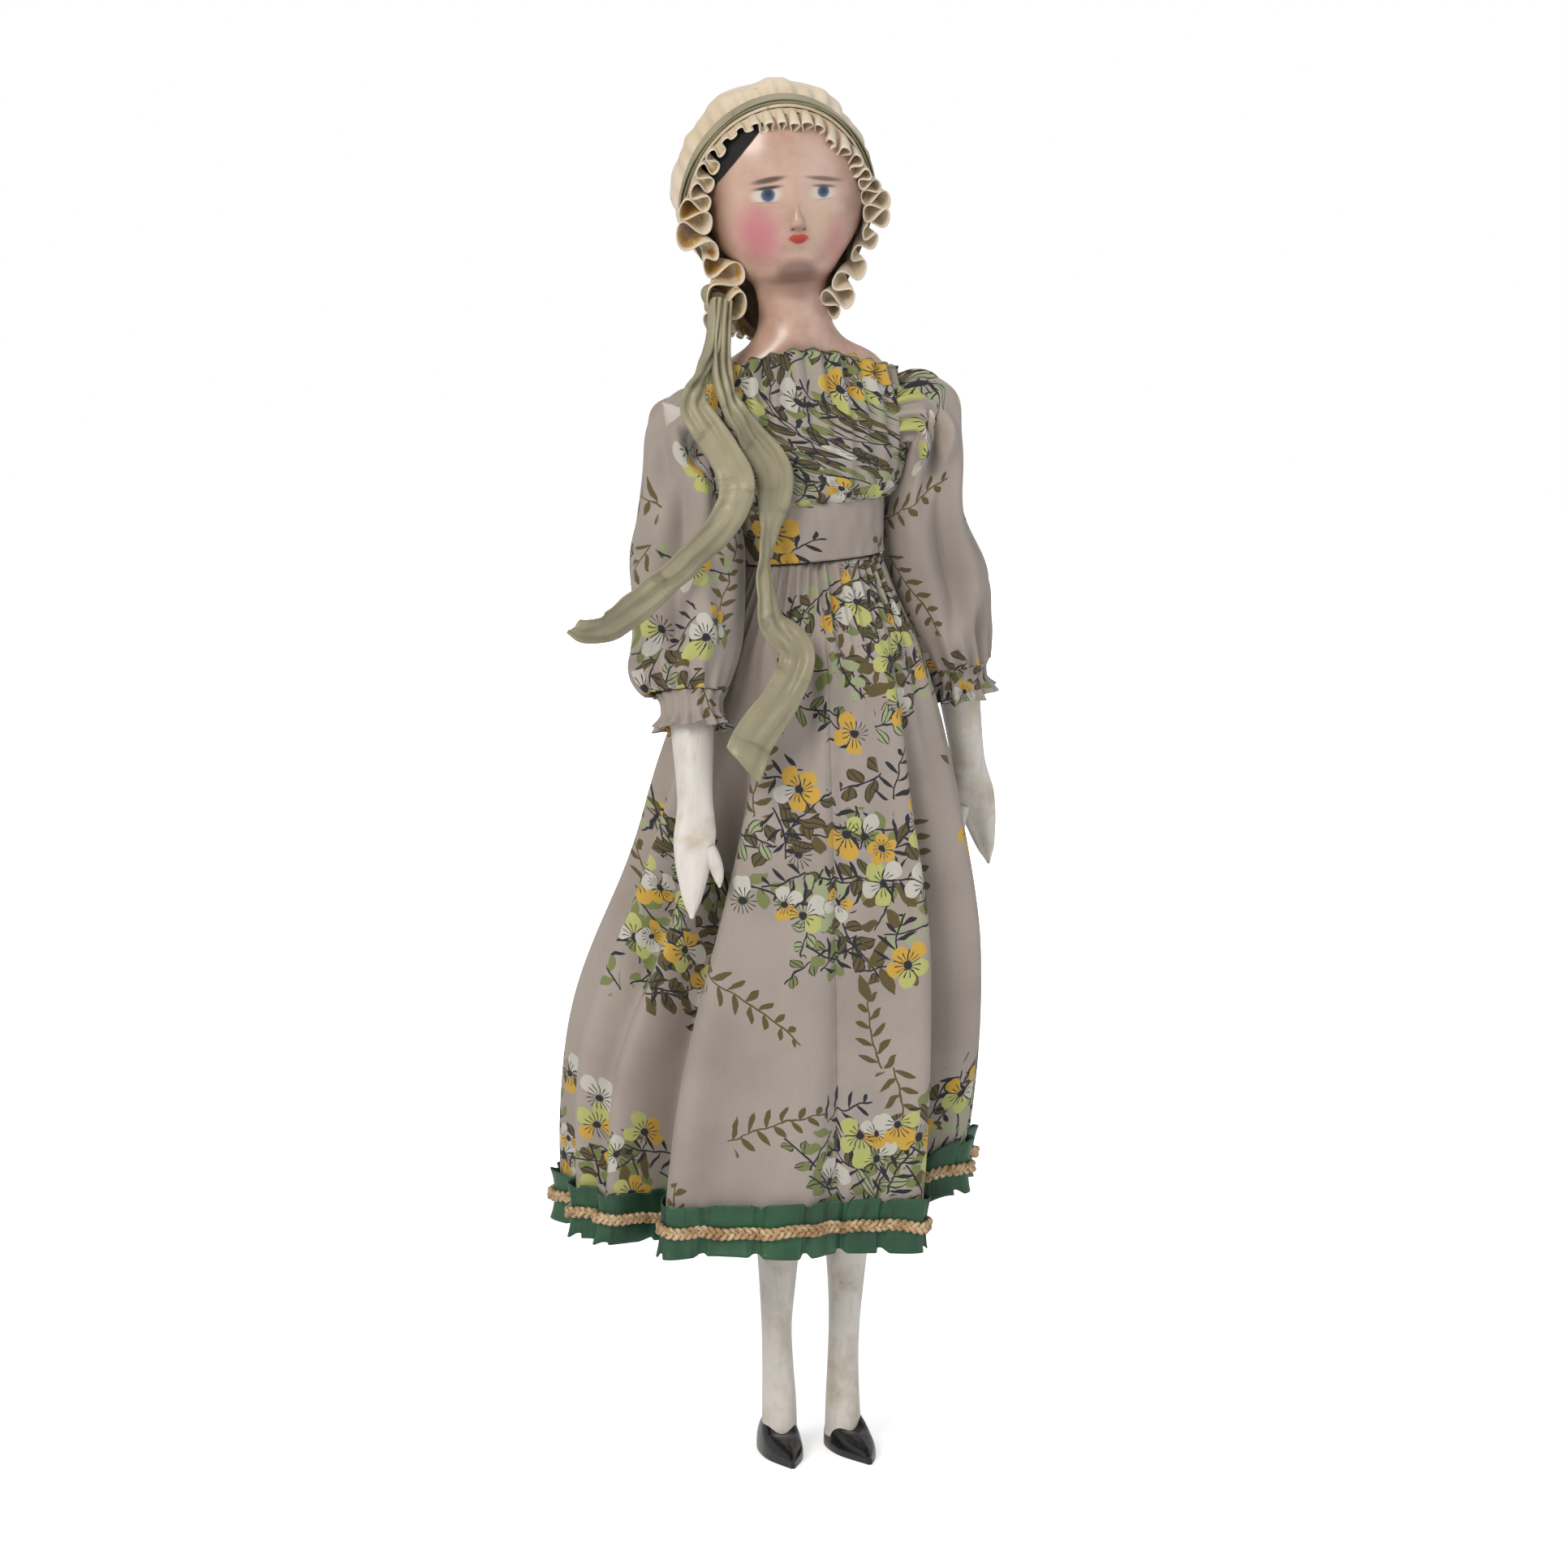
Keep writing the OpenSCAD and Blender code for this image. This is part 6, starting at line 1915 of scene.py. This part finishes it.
LONG_TAIL = Route(
    "long_tail",
    "ribbon_long",
    (
        (-25.3, -8.0, 318.5, 4.5, 0), (-27.2, -12.5, 306.0, 5.5, 15), (-25.8, -17.0, 293.1, 6.5, 35),
        (-20.0, -19.5, 283.7, 8.0, 20), (-13.6, -20.0, 272.9, 9.5, -15), (-14.8, -19.0, 258.8, 7.5, 30),
        (-16.8, -20.5, 248.3, 7.0, 50), (-15.6, -26.0, 235.2, 8.5, 25), (-9.4, -30.0, 226.8, 9.5, -20),
        (-13.8, -34.0, 215.9, 10.0, -10), (-22.4, -38.0, 205.0, 11.5, 0), (-26.2, -40.5, 196.0, 11.5, 0),
    ),
    8.0,
)
SHORT_TAIL = Route(
    "short_tail",
    "ribbon_short",
    (
        (-26.6, -7.5, 318.5, 4.5, 0), (-28.6, -12.5, 306.0, 5.0, 20), (-33.2, -17.0, 299.0, 6.5, 55),
        (-35.2, -21.5, 291.3, 8.0, 15), (-30.0, -25.0, 282.0, 9.0, -20), (-24.9, -25.5, 272.6, 9.5, -10),
        (-26.3, -26.5, 264.3, 9.5, 10), (-34.1, -29.5, 255.1, 9.0, 20), (-44.0, -32.5, 246.8, 9.5, 30),
        (-52.8, -35.0, 239.9, 10.0, 20), (-62.3, -36.0, 234.2, 9.5, 35), (-70.5, -36.0, 235.5, 4.0, 20),
    ),
    4.0,
)


@dataclass
class Tie:
    """Knot under the right ear and the two tails of the sage ribbon.

    Attributes:
        behind, front: the knot's two ends, before the figure's lean.
        turns: each turn's place along the knot, half width, half height, strip width and tilt.
    """

    behind: tuple[float, float, float] = (-20.6, 5.0, 321.5)
    front: tuple[float, float, float] = (-20.9, -5.0, 318.4)
    turns: Sequence[tuple[float, float, float, float, float]] = (
        (0.15, 2.4, 2.8, 5.0, -14.0),
        (0.45, 2.6, 2.9, 5.5, 10.0),
        (0.78, 2.6, 2.6, 5.0, -8.0),
        (0.98, 1.9, 2.1, 4.0, 18.0),
    )

    def tail(self, route: Route, finish: Material) -> Object:
        """A tail: a strip along a smooth curve through the route, twisted, bowed and creased, cut aslant at its end.

        Across the strip, c from -1 to 1: middle + side c width / 2 + normal (bow (1 - c^2) + crease).
        """
        n, m = 280, 17
        s, c = np.linspace(0, 1, n), np.linspace(-1, 1, m)
        steps = np.array(route.steps)
        spine = along(steps, s)
        length = float(run_length(spine[:, :3], 0)[-1])
        reach = 1 - (1 - c[None, :]) / 2 * route.cut / length * ease(s, 0.75, 1.0)[:, None]
        row = along(steps, s[:, None] * reach)
        ahead = np.gradient(spine[:, :3], axis=0)
        flat = ahead[:, [0, 2]] / np.linalg.norm(ahead[:, [0, 2]], axis=1, keepdims=True)
        twist = np.radians(spine[:, 4])
        side = np.stack([-flat[:, 1] * np.cos(twist), np.sin(twist), flat[:, 0] * np.cos(twist)], axis=1)
        normal = np.cross(side, ahead)
        normal /= np.linalg.norm(normal, axis=1, keepdims=True)
        normal *= -np.sign(normal[:, 1:2] + 1e-9)
        gather = ease(s, 0.45, 0.0)[:, None]
        bow = 0.9 * (1 - c[None, :] ** 2) * (0.4 + 0.9 * sin_deg(700 * s + 40)[:, None])
        crease = (0.3 + 0.7 * gather) * np.sin(2.6 * np.pi * c[None, :] + 5 * s[:, None])
        crease = crease + 0.7 * ripple(s[:, None] * 9, c[None, :] * 0.8, 17)
        across = (row[..., 3] / 2 * c[None, :])[..., None]
        points = row[..., :3] + side[:, None] * across + normal[:, None] * (bow + crease)[..., None]
        width = np.maximum(spine[:, 3].mean() * 1.15, RIBBON_WIDTH)
        uv = uv_grid(length * s[:, None] * reach, np.broadcast_to(width * (c[None, :] + 1) / 2, (n, m)))
        obj = build_grid(route.name, place(points), uv)
        finish_sheet(obj, finish, 0.3, 0.0)
        return obj

    def knot_loops(self, finish: Material) -> Object:
        """The knot: the ribbon wound round itself, each turn a creased and bowed strip, the last across the front."""
        a = np.linspace(0, 360, 72, endpoint=False)
        c = np.linspace(-1, 1, 29)
        start, end = np.array(self.behind), np.array(self.front)
        parts = []
        for index, (shift, wide, high, strip, turn) in enumerate(self.turns):
            middle = start + (end - start) * shift
            swell = 1 + 0.08 * sin_deg(3 * a + 70 * index)
            tilt = math.radians(turn)
            lap = (c * strip / 2)[None, :]
            puff = (1 - 0.14 * c**2 + 0.22 * np.sin(4.2 * np.pi * c + index))[None, :]
            px = (wide * cos_deg(a) * swell)[:, None] * puff + lap * math.sin(tilt)
            py = lap * math.cos(tilt) + 0.4 * sin_deg(2 * a)[:, None]
            pz = (high * sin_deg(a) * swell)[:, None] * puff
            points = middle + np.stack([px, py, pz], axis=-1)
            uv = uv_grid(np.linspace(0, 15, 73)[:, None] + 15 * index, (c[None, :] + 1) / 2 * RIBBON_WIDTH)
            parts.append(build_grid("turn", place(leaned(points)), uv, loops=(True, False)))
        obj = join("ribbon_knot_turns", parts)
        obj.data.materials.clear()
        finish_sheet(obj, finish, 0.3, 0.0)
        return obj

    def make(self, finish: Material) -> list[Object]:
        knot, long, short = self.knot_loops(finish), self.tail(LONG_TAIL, finish), self.tail(SHORT_TAIL, finish)
        for piece, node in ((knot, "ribbon_knot"), (long, "ribbon_long")):
            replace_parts(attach(piece, "figure"), node)
        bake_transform(short)
        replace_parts(short, "ribbon_short")
        declare_cloth(knot)
        declare_cloth(long)
        declare_cloth(short)
        return [knot, long, short]


# ---- studio -------------------------------------------------------------------------------------------------


@dataclass
class Studio:
    """White sweep, soft light from the upper left and the camera at the photograph's angle.

    Attributes:
        azimuth: degrees that the camera stands to the doll's right of straight ahead.
        elevation: degrees above the level of its target.
        distance: metres from the target.
        target: what it looks at, in millimetres above the soles.
        lens: focal length for a 36 mm sensor.
    """

    azimuth: float = -9.5
    elevation: float = 8.5
    distance: float = 1.1
    target: tuple[float, float, float] = (-9.5, -10.0, 188.9)
    lens: float = 93.8

    def camera(self) -> Object:
        """Camera on a sphere round the target, level with the picture's upright."""
        data = bpy.data.cameras.new("photo_camera")
        data.lens, data.sensor_width, data.clip_start = self.lens, 36.0, 0.01
        made = bpy.data.objects.new("photo_camera", data)
        bpy.context.scene.collection.objects.link(made)
        a, e = math.radians(self.azimuth), math.radians(self.elevation)
        away = Vector((math.sin(a) * math.cos(e), -math.cos(a) * math.cos(e), math.sin(e)))
        made.location = Vector(place(np.array(self.target))) + away * self.distance
        made.rotation_euler = (-away).to_track_quat("-Z", "Y").to_euler()
        bpy.context.scene.camera = made
        return made

    def lamp(self, name: str, where: tuple[float, float, float], size: float, power: float, tint: str) -> Object:
        """Square soft lamp that looks at the doll's middle."""
        data = bpy.data.lights.new(name, "AREA")
        data.size, data.energy, data.color = size, power, paint(tint)[:3]
        made = bpy.data.objects.new(name, data)
        made.location = Vector(where)
        made.rotation_euler = (Vector((0, 0, -0.06)) - made.location).to_track_quat("-Z", "Y").to_euler()
        bpy.context.scene.collection.objects.link(made)
        return made

    def floor(self) -> Object:
        """Plain white floor under the soles."""
        mesh = bpy.data.meshes.new("floor")
        size, level = 3.0, -WAIST * MM
        corner = [(x * size, y * size, level) for x, y in ((-1, -1), (1, -1), (1, 1), (-1, 1))]
        mesh.from_pydata(corner, [], [(0, 1, 2, 3)])
        made = bpy.data.objects.new("floor", mesh)
        bpy.context.scene.collection.objects.link(made)
        finish, w, shader = new_material("floor_white", Roughness=0.9, Specular_IOR_Level=0.1)
        shader.inputs["Base Color"].default_value = (0.9, 0.9, 0.9, 1.0)
        glow = w.node("ShaderNodeEmission")
        glow.inputs[0].default_value = (1.0, 1.0, 1.0, 1.0)
        seen = w.node("ShaderNodeLightPath").outputs["Is Camera Ray"]
        far = w.vector("LENGTH", object_place(w), out=1)
        w.feed(glow.inputs[1], w.times(seen, w.plus(w.ease(far, 0.28, 0.6), 0.5)))
        both = w.node("ShaderNodeAddShader")
        w.feed(both.inputs[0], shader.outputs[0])
        w.feed(both.inputs[1], glow.outputs[0])
        w.feed(finish.node_tree.nodes["Material Output"].inputs["Surface"], both.outputs[0])
        made.data.materials.append(finish)
        return made

    def sky(self) -> None:
        """Even grey light from all round, seen white by the camera."""
        world = bpy.data.worlds.new("studio")
        world.use_nodes = True
        bpy.context.scene.world = world
        w = Wiring(world.node_tree)
        back = world.node_tree.nodes["Background"]
        back.inputs["Color"].default_value = (1.0, 1.0, 1.0, 1.0)
        rays = w.node("ShaderNodeLightPath")
        w.feed(back.inputs["Strength"], w.plus(w.times(rays.outputs["Is Camera Ray"], 0.53), 0.47))

    def make(self) -> None:
        """Sets up the studio."""
        scene = bpy.context.scene
        scene.view_settings.view_transform = "Standard"
        camera = self.camera()
        lamps = [
            self.lamp("key", (-0.8, -0.9, 0.75), 0.6, 12.5, "#fffaf4"),
            self.lamp("fill", (0.95, -0.8, 0.25), 0.9, 3.4, "#f6f8ff"),
            self.lamp("top", (0.1, 0.25, 1.1), 0.8, 3.0, "#ffffff"),
        ]
        self.sky()
        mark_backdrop(self.floor(), camera, *lamps)


# ---- the doll -----------------------------------------------------------------------------------------------


def dress_cad(nodes: Sequence[str], finish: Material) -> None:
    """Gives CAD nodes that stay in view a finish in place of the frame's plain one."""
    for node in nodes:
        mesh = bpy.data.objects[node].data
        mesh.materials.clear()
        mesh.materials.append(finish)
        mesh.polygons.foreach_set("use_smooth", np.ones(len(mesh.polygons), bool))
        mesh.set_sharp_from_angle(angle=math.radians(40))


def corners() -> list[list[float]]:
    """The scene's bounds as plain lists."""
    return [[float(value) for value in corner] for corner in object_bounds()]


def main() -> None:
    """Builds the doll piece by piece on the frame's bodies."""
    logging.basicConfig(level=logging.INFO, format="%(message)s")
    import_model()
    white = PaintedWood("white_paint").material()
    legs_white = PaintedWood("leg_white", colour="#d3cec6", shade="#bdb3a5", wear=0.03).material()
    bare, black = BareWood().material(), BlackSlipper().material()
    # each ribbon: its colour, a lighter copy laid as painted light, and a darker copy laid as painted shade
    sage = Ribbon("sage_silk", "#89836a", "#9a9377", "#615c45", sheen=0.15).material()
    satin = Ribbon("green_satin", "#193e2a", "#255437", "#0b1a12", gloss=0.4, sheen=0.08).material()
    gold = GoldBraid().material()
    cloth = PrintedCloth("print_cloth", 1.0).material()
    bodice_cloth = PrintedCloth("print_cloth_bodice", 3.0, 0.9).material()
    band_cloth = PrintedCloth("print_cloth_band", 9.0, -0.2).material()
    sleeve_cloth = PrintedCloth("print_cloth_sleeve", 5.0, -0.45).material()
    made: list[Object] = WoodenBody().make()
    arms = {Side.RIGHT: Arm(Side.RIGHT, 17.0), Side.LEFT: Arm(Side.LEFT, -8.0)}
    legs = {Side.RIGHT: Leg(Side.RIGHT, 1.3, RIGHT_CALF), Side.LEFT: Leg(Side.LEFT, 4.0, LEFT_CALF)}
    for side in Side:
        made += legs[side].make(legs_white, black)
        made += arms[side].make(white)
        dress_cad([f"{side.word}_thigh"], legs_white)
        dress_cad([f"{side.word}_upper_arm"], white)
        dress_cad([f"{side.word}_{peg}" for peg in ("shoulder_peg", "elbow_peg", "knee_peg")], bare)
        made += Sleeve(arms[side], seed=3 + side.value, fuller=SLEEVE_FULLNESS[side]).make(sleeve_cloth)
    dress_cad(["hip_peg"], bare)
    made += Bodice().make(bodice_cloth, band_cloth)
    made += Skirt().make(cloth, satin, gold)
    crown_silk, ruffle_silk = AgedSilk("cream_silk", 0.35).material(), AgedSilk("ruffle_silk", 1.0, 0.0104).material()
    made += Bonnet().make(crown_silk, ruffle_silk, sage)
    made += Tie().make(sage)
    for piece in made:
        report(piece)
    Studio().make()


if __name__ == "__main__":
    main()
